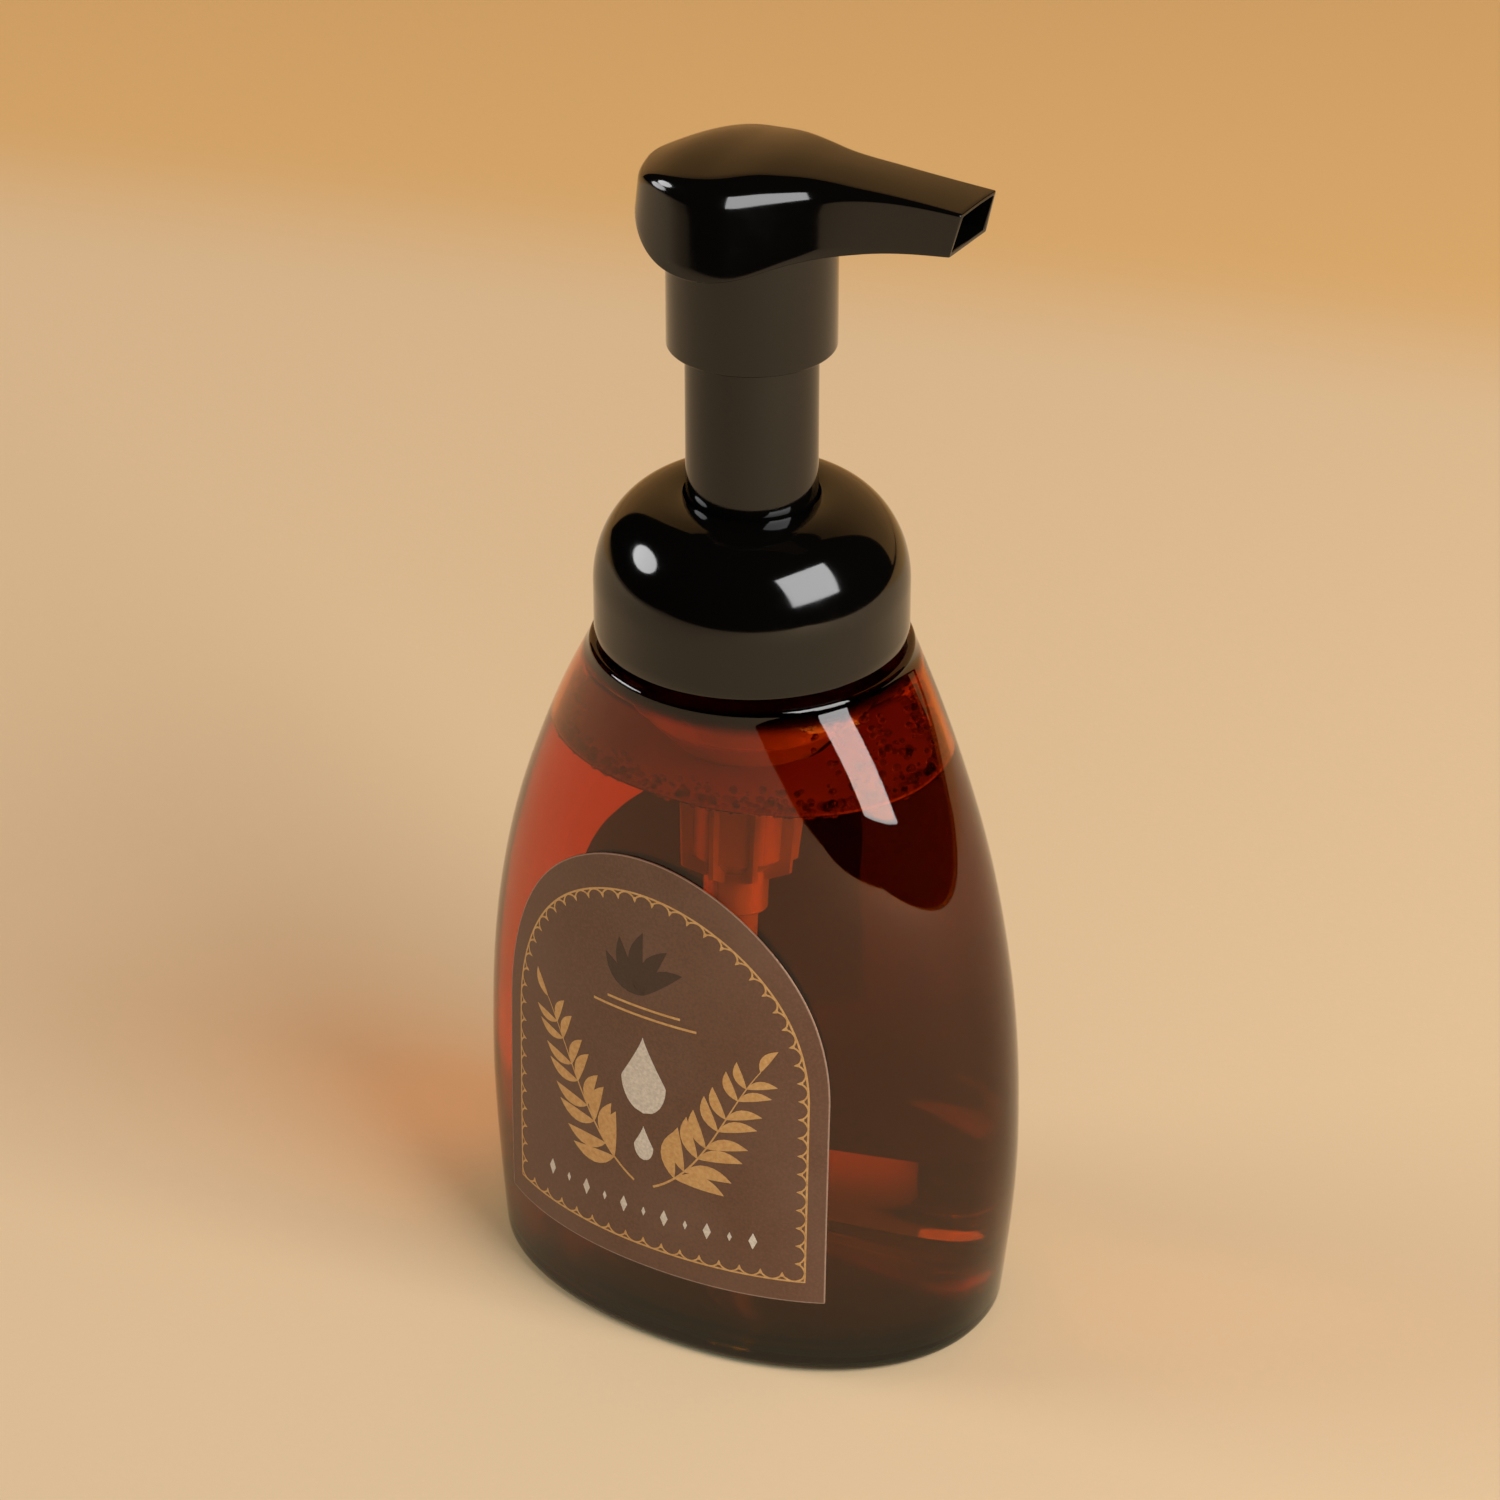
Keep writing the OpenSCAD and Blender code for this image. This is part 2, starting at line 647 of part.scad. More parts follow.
// A disc of gauze: a rim and crossed bars
module gauze(z) {
    rim_r = stem_bore_r - run_gap;
    rim_w = 0.8;
    pitch = 2 * rim_r / (mesh_bars + 1);
    bar = 0.3;
    ring(rim_r, rim_r - rim_w, z, z + mesh_t);
    intersection() {
        translate([0, 0, z])
            cylinder(r = rim_r - rim_w / 2, h = mesh_t);
        union()
            for (i = [1 : mesh_bars], turn = [0, 90])
                rotate([0, 0, turn])
                    translate([-rim_r, i * pitch - rim_r - bar / 2, z])
                        cube([2 * rim_r, bar, mesh_t]);
    }
}
module lower_mesh() {
    color([0.85, 0.85, 0.8]) gauze(cartridge_z - mesh_t - run_gap);
}
module upper_mesh() {
    color([0.85, 0.85, 0.8]) gauze(cartridge_z + cartridge_len + run_gap);
}

// The pump head's body, as rings from its back to the spout's mouth
widest_x = -0.9;      // where the body is widest
spout_x = 12;         // where the body runs out into the spout
spout_mid_x = 20;
back_len = back_reach + widest_x;
// Reach, half width of the underside's edge
head_plan = [[widest_x - 4, head_half_w * sqrt(1 - pow(4 / back_len, 2))],
             [widest_x, head_half_w],
             [widest_x + 4.5, head_half_w - 0.7],
             [widest_x + 9.5, head_half_w - 3.4],
             [widest_x + 13.5, head_half_w - 5.7],
             [spout_mid_x, mouth_half_w + 1.1],
             [spout_reach, mouth_half_w]];
// Reach, crown's middle line, its fall to the sides, underside, lean of the side in degrees,
// length of the edge's rounding on the crown, and on the side
head_form = [[-back_reach, head_top - 4.5, 1, body_foot + 7, 5.7, 1, 1.2],
             [-9, head_top - 1.5, 2.1, body_foot + 2.6, 7.5, 1.3, 1.6],
             [-1, head_top - 0.5, 2.2, body_foot + 1.1, 11, 2.2, 3],
             [5, head_top, 1.8, body_foot + 2, 12.2, 2.4, 3.7],
             [11, head_top - 0.1, 1.2, body_foot + 4.2, 10.2, 2, 3],
             [spout_mid_x, head_top - 0.4, 0.5, body_foot + 6.3, 2.6, 1.2, 1.4],
             [spout_reach, head_top - mouth_drop, mouth_edge, mouth_foot, 2, 0.35, 0.45]];
back_steps = 9;
front_steps = 15;
slope_step = 0.05;    // half the step over which the plan's slope is read
narrow_w = 4.5;       // least half width that the crown's side fall is spread over
// A station: reach, half width, and the two parts of the outward direction
function back_station(a) =
    let (n = norm([head_half_w * cos(a), back_len * sin(a)]))
    [widest_x - back_len * cos(a), head_half_w * sin(a),
     -head_half_w * cos(a) / n, back_len * sin(a) / n];
function side_station(x) =
    let (rise = curve(head_plan, 1, x + slope_step) - curve(head_plan, 1, x - slope_step),
         s = rise / (2 * slope_step), n = norm([1, s]))
    [x, curve(head_plan, 1, x), -s / n, 1 / n];
// The first station is a narrow one, 3 degrees round the back's curve
head_stations =
    concat([for (i = [0 : back_steps]) back_station(blend(3, 90, i / back_steps))],
           [for (i = [1 : front_steps]) side_station(blend(widest_x, spout_reach, i / front_steps))]);
function foot_half(x) =
    x < widest_x ? head_half_w * sqrt(max(0, 1 - pow((widest_x - x) / back_len, 2)))
    : curve(head_plan, 1, x);
function crown_z(x, y) =
    curve(head_form, 1, x) - curve(head_form, 2, x) * pow(y / max(narrow_w, foot_half(x)), 2);
// The station's edge point, moved in, on the crown
function crown_point(s, inward) =
    let (x = s[0] - s[2] * inward, y = max(0, s[1] - s[3] * inward))
    [x, y, crown_z(x, y)];
function bend(a, b, c, t) = a * (1 - t) * (1 - t) + b * 2 * t * (1 - t) + c * t * t;
// One side of a ring, from the underside up over the rounded edge to near the middle
function half_ring(s) =
    let (foot = [s[0], s[1], curve(head_form, 3, s[0])], lean = tan(curve(head_form, 4, s[0])),
         rough = (crown_z(s[0], s[1]) - foot[2]) * lean,
         inward = (crown_point(s, rough)[2] - foot[2]) * lean,
         edge = crown_point(s, inward),
         crown = crown_point(s, inward + curve(head_form, 5, s[0])),
         wall = edge + (foot - edge) * curve(head_form, 6, s[0]) / norm(foot - edge))
    concat([foot, (foot + wall) / 2],
           [for (i = [0 : 4]) bend(wall, edge, crown, i / 4)],
           [for (k = [2 / 3, 1 / 3]) [crown[0], crown[1] * k, crown_z(crown[0], crown[1] * k)]]);
// The mouth leans back towards its lower lip
function set_back(p, s) =
    let (top = curve(head_form, 1, s[0]), foot = curve(head_form, 3, s[0]),
         far = max(0, (s[0] - spout_x) / (spout_reach - spout_x)))
    [p[0] - far * mouth_setback * (top - p[2]) / (top - foot), p[1], p[2]];
function head_ring(s) =
    let (h = half_ring(s), mid = h[last(h)][0])
    [for (p = concat(h, [[mid, 0, crown_z(mid, 0)]],
                     [for (i = [last(h) : -1 : 0]) [h[i][0], -h[i][1], h[i][2]]])) set_back(p, s)];

// A skin over rings that are the same on both sides, each end closed with strips from side to side
module mirrored_loft(rings) {
    n = len(rings[0]);
    m = len(rings);
    top = (n - 1) / 2;
    end = (m - 1) * n;
    polyhedron(
        points = [for (r = rings) for (p = r) p],
        faces = concat(
            [for (k = [0 : top - 2]) [k, k + 1, n - 2 - k, n - 1 - k]],
            [[top - 1, top, top + 1]],
            [for (j = [0 : m - 2]) for (i = [0 : n - 1])
                [j * n + i, (j + 1) * n + i, (j + 1) * n + (i + 1) % n, j * n + (i + 1) % n]],
            [for (k = [0 : top - 2]) [end + n - 1 - k, end + n - 2 - k, end + k + 1, end + k]],
            [[end + top + 1, end + top, end + top - 1]]),
        convexity = 6);
}

// The foam channel, from the head's centre to the mouth
module foam_channel() {
    w = mouth_half_w - mouth_wall;
    root = head_ceiling + floor_t;
    low = mouth_foot + mouth_wall;
    hull() {
        translate([0, -w, root])
            cube([0.1, 2 * w, head_top - roof_t - root]);
        translate([spout_reach, -w, low])
            cube([1, 2 * w, mouth_h - mouth_edge - 2 * mouth_wall]);
    }
}

module pump_head() {
    color([0.06, 0.055, 0.05])
        difference() {
            union() {
                mirrored_loft([for (s = head_stations) head_ring(s)]);
                translate([0, 0, sleeve_z])
                    cylinder(r = sleeve_r, h = head_ceiling - sleeve_z);
            }
            difference() {
                translate([0, 0, sleeve_z - 1])
                    cylinder(r = sleeve_bore_r, h = head_ceiling - sleeve_z + 1);
                translate([0, 0, socket_foot])
                    cylinder(r = stem_r + run_gap + socket_wall, h = head_ceiling - socket_foot + 1);
            }
            translate([0, 0, socket_foot - 1])
                cylinder(r = stem_r + run_gap, h = head_ceiling - socket_foot + 1);
            translate([0, 0, head_ceiling - 1])
                cylinder(r = stem_bore_r, h = head_top - roof_t - head_ceiling + 1);
            foam_channel();
        }
}

bottle();
front_label();
back_label();
neck_gasket();
screw_collar();
pump_lid();
pump_housing();
dip_tube();
inlet_ball();
ball_cage();
return_spring();
liquid_piston();
piston_seal();
air_piston();
air_valve_ring();
outlet_ball();
ball_stop();
stem();
mesh_cartridge();
lower_mesh();
upper_mesh();
stem_wiper();
pump_head();
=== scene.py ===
import bpy
import random
from math import atan2, ceil, copysign, cos, dist, hypot, pi, radians, sin, sqrt, tan
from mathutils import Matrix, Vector


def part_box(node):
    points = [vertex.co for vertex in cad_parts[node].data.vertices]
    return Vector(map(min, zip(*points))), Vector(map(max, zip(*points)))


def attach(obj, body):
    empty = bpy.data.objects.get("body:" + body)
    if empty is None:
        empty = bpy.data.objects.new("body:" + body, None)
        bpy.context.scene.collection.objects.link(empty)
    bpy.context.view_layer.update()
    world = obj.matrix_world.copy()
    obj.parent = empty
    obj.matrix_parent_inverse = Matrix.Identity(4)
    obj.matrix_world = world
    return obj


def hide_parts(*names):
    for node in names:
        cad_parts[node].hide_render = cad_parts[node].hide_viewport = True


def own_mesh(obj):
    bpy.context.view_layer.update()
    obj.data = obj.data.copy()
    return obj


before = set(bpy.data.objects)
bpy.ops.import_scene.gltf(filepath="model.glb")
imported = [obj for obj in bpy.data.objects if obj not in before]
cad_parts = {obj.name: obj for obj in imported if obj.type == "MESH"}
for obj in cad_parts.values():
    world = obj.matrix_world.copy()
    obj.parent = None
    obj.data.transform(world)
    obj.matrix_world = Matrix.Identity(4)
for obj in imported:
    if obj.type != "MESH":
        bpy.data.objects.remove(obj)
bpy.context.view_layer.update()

MM = 0.001
TURN = 2 * pi
QUARTER = pi / 2


# ---------------- measures
def edges(node):
    """A node's lowest and highest corner, in millimetres."""
    low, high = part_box(node)
    return Vector(low) / MM, Vector(high) / MM


collar_low, collar_high = edges("screw_collar")
lid_low, lid_high = edges("pump_lid")
head_low, head_high = edges("pump_head")
housing_low, housing_high = edges("pump_housing")
label_low, label_high = edges("front_label")
cage_low, cage_high = edges("ball_cage")
spring_low, spring_high = edges("return_spring")
bottle_high = edges("bottle")[1]
gasket_high = edges("neck_gasket")[1]
tube_high = edges("dip_tube")[1]
stem_high = edges("stem")[1]


def radius_at(node, low, high):
    """The widest a node is about the pump's axis between two heights."""
    return max(hypot(v.co.x, v.co.y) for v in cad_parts[node].data.vertices
               if low - 0.02 <= v.co.z / MM <= high + 0.02) / MM


guide_r = radius_at("pump_lid", lid_high.z - 2, lid_high.z + 1)
sleeve_r = radius_at("pump_head", head_low.z - 1, head_low.z + 1)
FIT = 0.05  # gap of a push fit
RUN = 0.3  # gap round pieces that slide in each other
STROKE = 16.0  # of the head
LEAD = 4.233  # rise of the screw thread in one turn
COLLAR_WALL = 1.6
AROUND = 192  # points round one ring of the bottle


# ---------------- meshes
def new_mesh(name, shape):
    """A mesh from a shape, which is its points in millimetres and its faces."""
    points, faces = shape
    mesh = bpy.data.meshes.new(name)
    mesh.from_pydata([(x * MM, y * MM, z * MM) for x, y, z in points], [], faces)
    return mesh


def add_object(name, data):
    thing = bpy.data.objects.new(name, data)
    bpy.context.scene.collection.objects.link(thing)
    return thing


def crease(mesh, angle=32):
    """Smooth shading, with an edge where faces meet at more than an angle in degrees."""
    mesh.shade_smooth()
    mesh.set_sharp_from_angle(angle=radians(angle))


def piece(name, shape, material, body, replaced=(), sharp=32, fair=True):
    """A mesh piece that rides on a body, or belongs to the stage where it has none."""
    mesh = new_mesh(name, shape)
    mesh.validate()
    mesh.update()
    if fair:
        crease(mesh, sharp)
    thing = add_object(name, mesh)
    mesh.materials.append(material)
    if body:
        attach(thing, body)
        if replaced:
            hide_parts(*replaced)
    return thing


def skin(rings, closed=True, loop=False):
    """Faces over rings with the same number of points; closed puts a cap on each end."""
    count, rows = len(rings[0]), len(rings)
    points = [p for ring in rings for p in ring]
    faces = []
    for j in range(rows if loop else rows - 1):
        a, b = j * count, ((j + 1) % rows) * count
        for i in range(count):
            k = (i + 1) % count
            faces.append((a + i, a + k, b + k, b + i))
    if closed and not loop:
        faces.append(tuple(reversed(range(count))))
        faces.append(tuple((rows - 1) * count + i for i in range(count)))
    return points, faces


def grid(rows, columns, spot):
    """A sheet whose points are spot(row, column)."""
    points = [spot(j, i) for j in range(rows + 1) for i in range(columns + 1)]
    faces = []
    for j in range(rows):
        for i in range(columns):
            a = j * (columns + 1) + i
            faces.append((a, a + 1, a + columns + 2, a + columns + 1))
    return points, faces


def merge(shapes):
    """One shape from several."""
    points, faces = [], []
    for some_points, some_faces in shapes:
        start = len(points)
        points += some_points
        faces += [tuple(start + i for i in face) for face in some_faces]
    return points, faces


def bend(a, b, c, t):
    """A point on the curve from a to c that leans towards b."""
    return a * (1 - t) ** 2 + b * (2 * t * (1 - t)) + c * t ** 2


def soften(corners):
    """A closed outline from (r, z, radius) corners, with each corner rounded to its radius."""
    outline = []
    for i, (r, z, radius) in enumerate(corners):
        if radius <= 0:
            outline.append((r, z))
            continue
        here = Vector((r, z))
        before = Vector(corners[i - 1][:2]) - here
        after = Vector(corners[(i + 1) % len(corners)][:2]) - here
        room = min(0.45 * before.length, 0.45 * after.length)
        before.normalize()
        after.normalize()
        half = before.angle(after) / 2
        cut = min(min(radius, room) / max(tan(half), 0.05), room)
        start, end = here + before * cut, here + after * cut
        for t in (s / 5 for s in range(6)):
            p = start * (1 - t) ** 2 + here * 2 * t * (1 - t) + end * t ** 2
            outline.append((p.x, p.y))
    return outline


def round_ring(radius, z, count=AROUND):
    return [(radius * cos(TURN * i / count), radius * sin(TURN * i / count), z)
            for i in range(count)]


def turned(outline, steps=256):
    """A closed outline of (r, z) turned round the pump's axis."""
    return skin([round_ring(max(r, 0.0), z, steps) for r, z in outline], loop=True)


# ---------------- node groups
def new_group(name, inputs, outputs):
    """An empty shader node group, returned with its ends. A socket named Colour is one, and
    the others are floats."""
    group = bpy.data.node_groups.new(name, "ShaderNodeTree")

    def add(label, end):
        kind = "NodeSocketColor" if label == "Colour" else "NodeSocketFloat"
        return group.interface.new_socket(name=label, in_out=end, socket_type=kind)

    for label, value in inputs.items():
        add(label, "INPUT").default_value = value
    for label in outputs:
        add(label, "OUTPUT")
    return group, group.nodes.new("NodeGroupInput"), group.nodes.new("NodeGroupOutput")


def feed(tree, made, links=None, **values):
    """Gives a node its settings and inputs; links maps an input to a socket."""
    for key, value in values.items():
        if hasattr(made, key):
            setattr(made, key, value)
        else:
            made.inputs[key.replace("_", " ")].default_value = value
    for key, socket in (links or {}).items():
        tree.links.new(socket, made.inputs[key])
    return made


def node(tree, kind, links=None, **values):
    return feed(tree, tree.nodes.new("ShaderNode" + kind), links, **values)


def place_in(tree):
    """The object's own coordinates."""
    return node(tree, "TexCoord").outputs["Object"]


def noise(tree, place, scale, detail, **values):
    return node(tree, "TexNoise", {"Vector": place}, Scale=scale, Detail=detail,
                **values).outputs[0]


def math_node(tree, operation, *sides):
    made = node(tree, "Math", operation=operation)
    for i, value in enumerate(sides):
        if isinstance(value, (int, float)):
            made.inputs[i].default_value = value
        else:
            tree.links.new(value, made.inputs[i])
    return made.outputs[0]


def spread(tree, value, low, high, to_low=0.0, to_high=1.0, **values):
    """Maps a value from one range to another, held at its ends."""
    return node(tree, "MapRange", {"Value": value}, From_Min=low, From_Max=high,
                To_Min=to_low, To_Max=to_high, **values).outputs[0]


def tint(tree, mask, colour_a, colour_b):
    """Colour a where the mask is 0 and colour b where it is 1."""
    made = node(tree, "Mix", {"Factor": mask}, data_type="RGBA")
    for key, value in (("A", colour_a), ("B", colour_b)):
        socket = next(s for s in made.inputs if s.name == key and s.type == "RGBA")
        if isinstance(value, (tuple, list)):
            socket.default_value = (*value[:3], 1)
        else:
            tree.links.new(value, socket)
    return next(s for s in made.outputs if s.type == "RGBA")


def make_moulded():
    """Moulded plastic: slow colour drift, a faint orange peel and handling marks."""
    group, start, end = new_group("moulded_surface", {
        "Colour": (0.5, 0.5, 0.5, 1), "Drift": 0.08, "Roughness": 0.3, "Marks": 0.05,
        "Peel Scale": 900.0}, ("Colour", "Roughness", "Height"))
    given = start.outputs
    place = place_in(group)
    slow = noise(group, place, 45.0, 3.0)
    peel = node(group, "TexNoise", {"Vector": place, "Scale": given["Peel Scale"]}, Detail=2.0)
    smear = noise(group, place, 160.0, 5.0, Roughness=0.65)
    shift = math_node(group, "MULTIPLY", math_node(group, "SUBTRACT", slow, 0.5),
                      given["Drift"])
    bright = node(group, "HueSaturation", {"Color": given["Colour"],
                                           "Value": math_node(group, "ADD", shift, 1.0)})
    rub = math_node(group, "MULTIPLY", spread(group, smear, 0.45, 0.75), given["Marks"])
    feed(group, end, {"Colour": bright.outputs[0], "Height": peel.outputs[0],
                      "Roughness": math_node(group, "ADD", given["Roughness"], rub)})
    return group


def make_specks():
    """Sparse specks of dust: a mask that is 1 on each speck."""
    group, start, end = new_group("dust_specks", {"Scale": 260.0, "Size": 0.09, "Share": 0.1},
                                  ("Mask",))
    given = start.outputs
    cells = node(group, "TexVoronoi", {"Vector": place_in(group), "Scale": given["Scale"]},
                 Randomness=1.0)
    chance = node(group, "SeparateColor", {0: cells.outputs["Color"]})
    kept = math_node(group, "LESS_THAN", chance.outputs[0], given["Share"])
    near = math_node(group, "LESS_THAN", cells.outputs["Distance"], given["Size"])
    feed(group, end, {"Mask": math_node(group, "MULTIPLY", kept, near)})
    return group


moulded, specks = make_moulded(), make_specks()


# ---------------- materials
def blank(name):
    """A material with its Principled shader and output, and nothing linked yet."""
    made = bpy.data.materials.new(name)
    made.use_nodes = True
    return made, made.node_tree, made.node_tree.nodes["Principled BSDF"]


def toned(colour, share):
    return tuple(share * c for c in colour)


def raise_surface(tree, shader, height, distance, strength):
    bump = node(tree, "Bump", {"Height": height}, Distance=distance, Strength=strength)
    feed(tree, shader, {"Normal": bump.outputs[0]})


def plastic(name, colour, roughness, drift=0.08, marks=0.05, peel=900.0, bump=0.04,
            transmission=0.0, ior=1.5, subsurface=0.0, dust=0.0):
    """A moulded plastic, from opaque to translucent."""
    made, tree, shader = blank(name)
    base = node(tree, "Group", node_tree=moulded, Colour=(*colour, 1), Drift=drift,
                Roughness=roughness, Marks=marks, Peel_Scale=peel).outputs
    shade, rough = base["Colour"], base["Roughness"]
    if dust:
        dots = node(tree, "Group", node_tree=specks, Share=dust).outputs["Mask"]
        shade = tint(tree, dots, shade, (0.32, 0.27, 0.2))
        rough = math_node(tree, "ADD", rough, spread(tree, dots, 0.0, 1.0, 0.0, 0.5))
    feed(tree, shader, {"Base Color": shade, "Roughness": rough}, IOR=ior,
         Transmission_Weight=transmission, Subsurface_Weight=subsurface,
         Subsurface_Scale=0.0015)
    raise_surface(tree, shader, base["Height"], 0.00003, bump)
    return made


def clear(name, colour, roughness, ior, shadow, thick_and_shaded=()):
    """A clear material that lets tinted light through. Each row of its height table has a height in
    millimetres and the shares of red, green and blue that the tint keeps there, in the colour and
    in the light let through to shadows; the amber's rows stand for heavier walls and for painted
    shade."""
    made, tree, shader = blank(name)
    pane = node(tree, "BsdfTransparent")
    if thick_and_shaded:
        top = thick_and_shaded[-1][0]
        axes = node(tree, "SeparateXYZ", {0: place_in(tree)})
        depth = spread(tree, axes.outputs[2], 0.0, top * MM)
    for socket, full in ((shader.inputs["Base Color"], colour), (pane.inputs["Color"], shadow)):
        socket.default_value = (*full, 1)
        if thick_and_shaded:
            ramp = node(tree, "ValToRGB", {0: depth})
            ramp.color_ramp.interpolation = "EASE"
            steps = ramp.color_ramp.elements
            while len(steps) < len(thick_and_shaded):
                steps.new(0.5)
            for step, (height, share) in zip(steps, thick_and_shaded):
                step.position = height / top
                step.color = (*(c * k for c, k in zip(full, share)), 1)
            tree.links.new(ramp.outputs[0], socket)
    feed(tree, shader, Roughness=roughness, IOR=ior, Transmission_Weight=1.0)
    raise_surface(tree, shader, noise(tree, place_in(tree), 38.0, 1.5), 0.0002, 0.06)
    path = node(tree, "LightPath").outputs
    mix = node(tree, "MixShader", {0: path["Is Shadow Ray"], 1: shader.outputs[0],
                                   2: pane.outputs[0]})
    feed(tree, tree.nodes["Material Output"], {"Surface": mix.outputs[0]})
    return made


def metal(name, colour, roughness, grain):
    """Drawn or polished steel with fine lines."""
    made, tree, shader = blank(name)
    lines = noise(tree, place_in(tree), grain, 4.0)
    feed(tree, shader, {"Base Color": tint(tree, lines, toned(colour, 0.85), colour),
                        "Roughness": spread(tree, lines, 0.3, 0.7, roughness,
                                            roughness + 0.12)}, Metallic=1.0)
    raise_surface(tree, shader, lines, 0.00001, 0.3)
    return made


def rubber(name, colour, roughness):
    """Soft seal stock with a dry, mottled face."""
    return plastic(name, colour, roughness, drift=0.2, marks=0.12, peel=2600.0, bump=0.25)


def film(name, colour, edge):
    """Printed label film: satin, with a fine tooth and soft clouds of a paler edge colour."""
    made, tree, shader = blank(name)
    place = place_in(tree)
    tooth, cloud = noise(tree, place, 2400.0, 3.0), noise(tree, place, 70.0, 4.0)
    mottle = tint(tree, spread(tree, tooth, 0.35, 0.7), toned(colour, 0.86),
                  toned(colour, 1.16))
    soft = tint(tree, spread(tree, cloud, 0.3, 0.8, 0.0, 0.25), mottle, edge)
    feed(tree, shader, {"Base Color": soft,
                        "Roughness": spread(tree, cloud, 0.3, 0.7, 0.42, 0.55)})
    raise_surface(tree, shader, tooth, 0.00002, 0.3)
    return made


# The amber deepens at the base and the neck, partly for the heavier moulding and partly as painted
# shade: a contact shadow at the foot, and near-black shade under the collar.
amber = clear("amber_plastic", (0.76, 0.245, 0.03), 0.015, 1.5, (0.91, 0.83, 0.51),
              ((0.0, (0.18, 0.40, 0.8)), (5.0, (0.24, 0.45, 0.8)), (12.0, (0.6, 0.7, 0.8)),
               (20.0, (1.0, 1.0, 1.0)), (90.0, (1.0, 0.8, 0.6)), (99.3, (0.95, 0.6, 0.4)),
               (100.7, (0.03, 0.01, 0.01)), (118.0, (0.01, 0.01, 0.01))))
soap_clear = clear("soap", (0.93, 0.80, 0.66), 0.0, 1.335, (0.97, 0.93, 0.88))
bubble_clear = clear("soap_bubble", (0.55, 0.42, 0.32), 0.0, 1.3, (0.96, 0.94, 0.9))
foam = plastic("soap_foam", (0.13, 0.03, 0.012), 0.4, drift=0.5, peel=1200.0, bump=0.6)
black = plastic("black_plastic", (0.0016, 0.0013, 0.0011), 0.07, drift=0.2, bump=0.012,
                dust=0.012, ior=1.53)
natural = plastic("natural_plastic", (0.62, 0.55, 0.46), 0.32, transmission=0.6)
white = plastic("white_plastic", (0.80, 0.79, 0.75), 0.38, subsurface=0.15)
pale_rubber = rubber("pale_rubber", (0.68, 0.66, 0.60), 0.6)
seal_rubber = rubber("seal_rubber", (0.035, 0.034, 0.033), 0.55)
spring_steel = metal("spring_steel", (0.60, 0.60, 0.58), 0.22, 900.0)
ball_steel = metal("ball_steel", (0.70, 0.70, 0.70), 0.08, 300.0)
label_brown = film("label_film", (0.116, 0.050, 0.027), (0.26, 0.16, 0.105))
# Near-black glue: painted shade on the labels' inner side, seen through the bottle.
glue_with_painted_shade = film("glue_with_painted_shade", (0.004, 0.003, 0.0024), (0.007, 0.005, 0.004))
gauze = plastic("gauze", (0.78, 0.78, 0.72), 0.5, drift=0.25, peel=3000.0, bump=0.2)


def make_gold():
    """Gold ink, slightly metallic, broken up where the film's tooth shows."""
    made, tree, shader = blank("gold_ink")
    tooth = noise(tree, place_in(tree), 1800.0, 3.0)
    shade = tint(tree, spread(tree, tooth, 0.3, 0.7), (0.50, 0.27, 0.095), (0.64, 0.39, 0.16))
    feed(tree, shader, {"Base Color": shade,
                        "Roughness": spread(tree, tooth, 0.3, 0.7, 0.32, 0.5)}, Metallic=0.25)
    return made


gold = make_gold()
cream = film("cream_ink", (0.62, 0.55, 0.46), (0.5, 0.42, 0.33))
dark_ink = film("dark_ink", (0.045, 0.022, 0.013), (0.10, 0.05, 0.03))
cut_edge = film("cut_edge", (0.30, 0.19, 0.13), (0.36, 0.24, 0.17))

for finish, nodes in (
        (pale_rubber, ("neck_gasket", "stem_wiper")),
        (natural, ("dip_tube", "pump_housing")),
        (ball_steel, ("inlet_ball", "outlet_ball")),
        (white, ("ball_cage", "liquid_piston", "air_piston", "ball_stop", "stem",
                 "mesh_cartridge")),
        (seal_rubber, ("piston_seal", "air_valve_ring")),
        (spring_steel, ("return_spring",)),
        (gauze, ("lower_mesh", "upper_mesh")),
        (black, ("pump_head", "screw_collar", "pump_lid")),
        (label_brown, ("front_label", "back_label"))):
    for name in nodes:
        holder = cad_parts[name]
        if not holder.material_slots:
            holder.data.materials.append(finish)
        for held in holder.material_slots:
            held.material = finish


# ---------------- the bottle's form
SHOULDER = collar_low.z - 1.4  # height of the bottle's shoulder
NECK_R = gasket_high.x  # the round neck
NECK_WALL = 2.1
AIR_R = NECK_R - NECK_WALL - 1.0  # outside of the air cylinder, inside of the collar's ledge
WALL = 1.2
HEEL = 2.0  # rounding between base and wall
LIP = 0.9  # rounding between wall and shoulder
PUSH_UP = 2.6  # hollow under the base
BASE_T = 1.8  # thickness of the base
LOW_IN = PUSH_UP + BASE_T + HEEL  # where the wall begins inside
INTO_WALL = 0.06  # how far soap and the labels' glue reach into the wall
# The base's rings, as shares of its oval
BASE_SHARES = [0.15, 0.3, 0.42] + [0.45 + 0.025 * i for i in range(1, 20)]
CENTRE = 0.004  # the share at which its middle is closed
# Height, half length, half depth, power of the oval
FORM = [(0.0, 38.3, 27.0, 2.14),
        (30.0, 41.2, 25.9, 2.02),
        (57.0, 39.1, 25.6, 1.98),
        (72.0, 35.3, 25.1, 2.04),
        (84.0, 30.95, 23.55, 2.1),
        (93.0, 27.1, 22.6, 2.08),
        (SHOULDER, collar_high.x + 0.4, collar_high.x + 0.4, 2.0)]


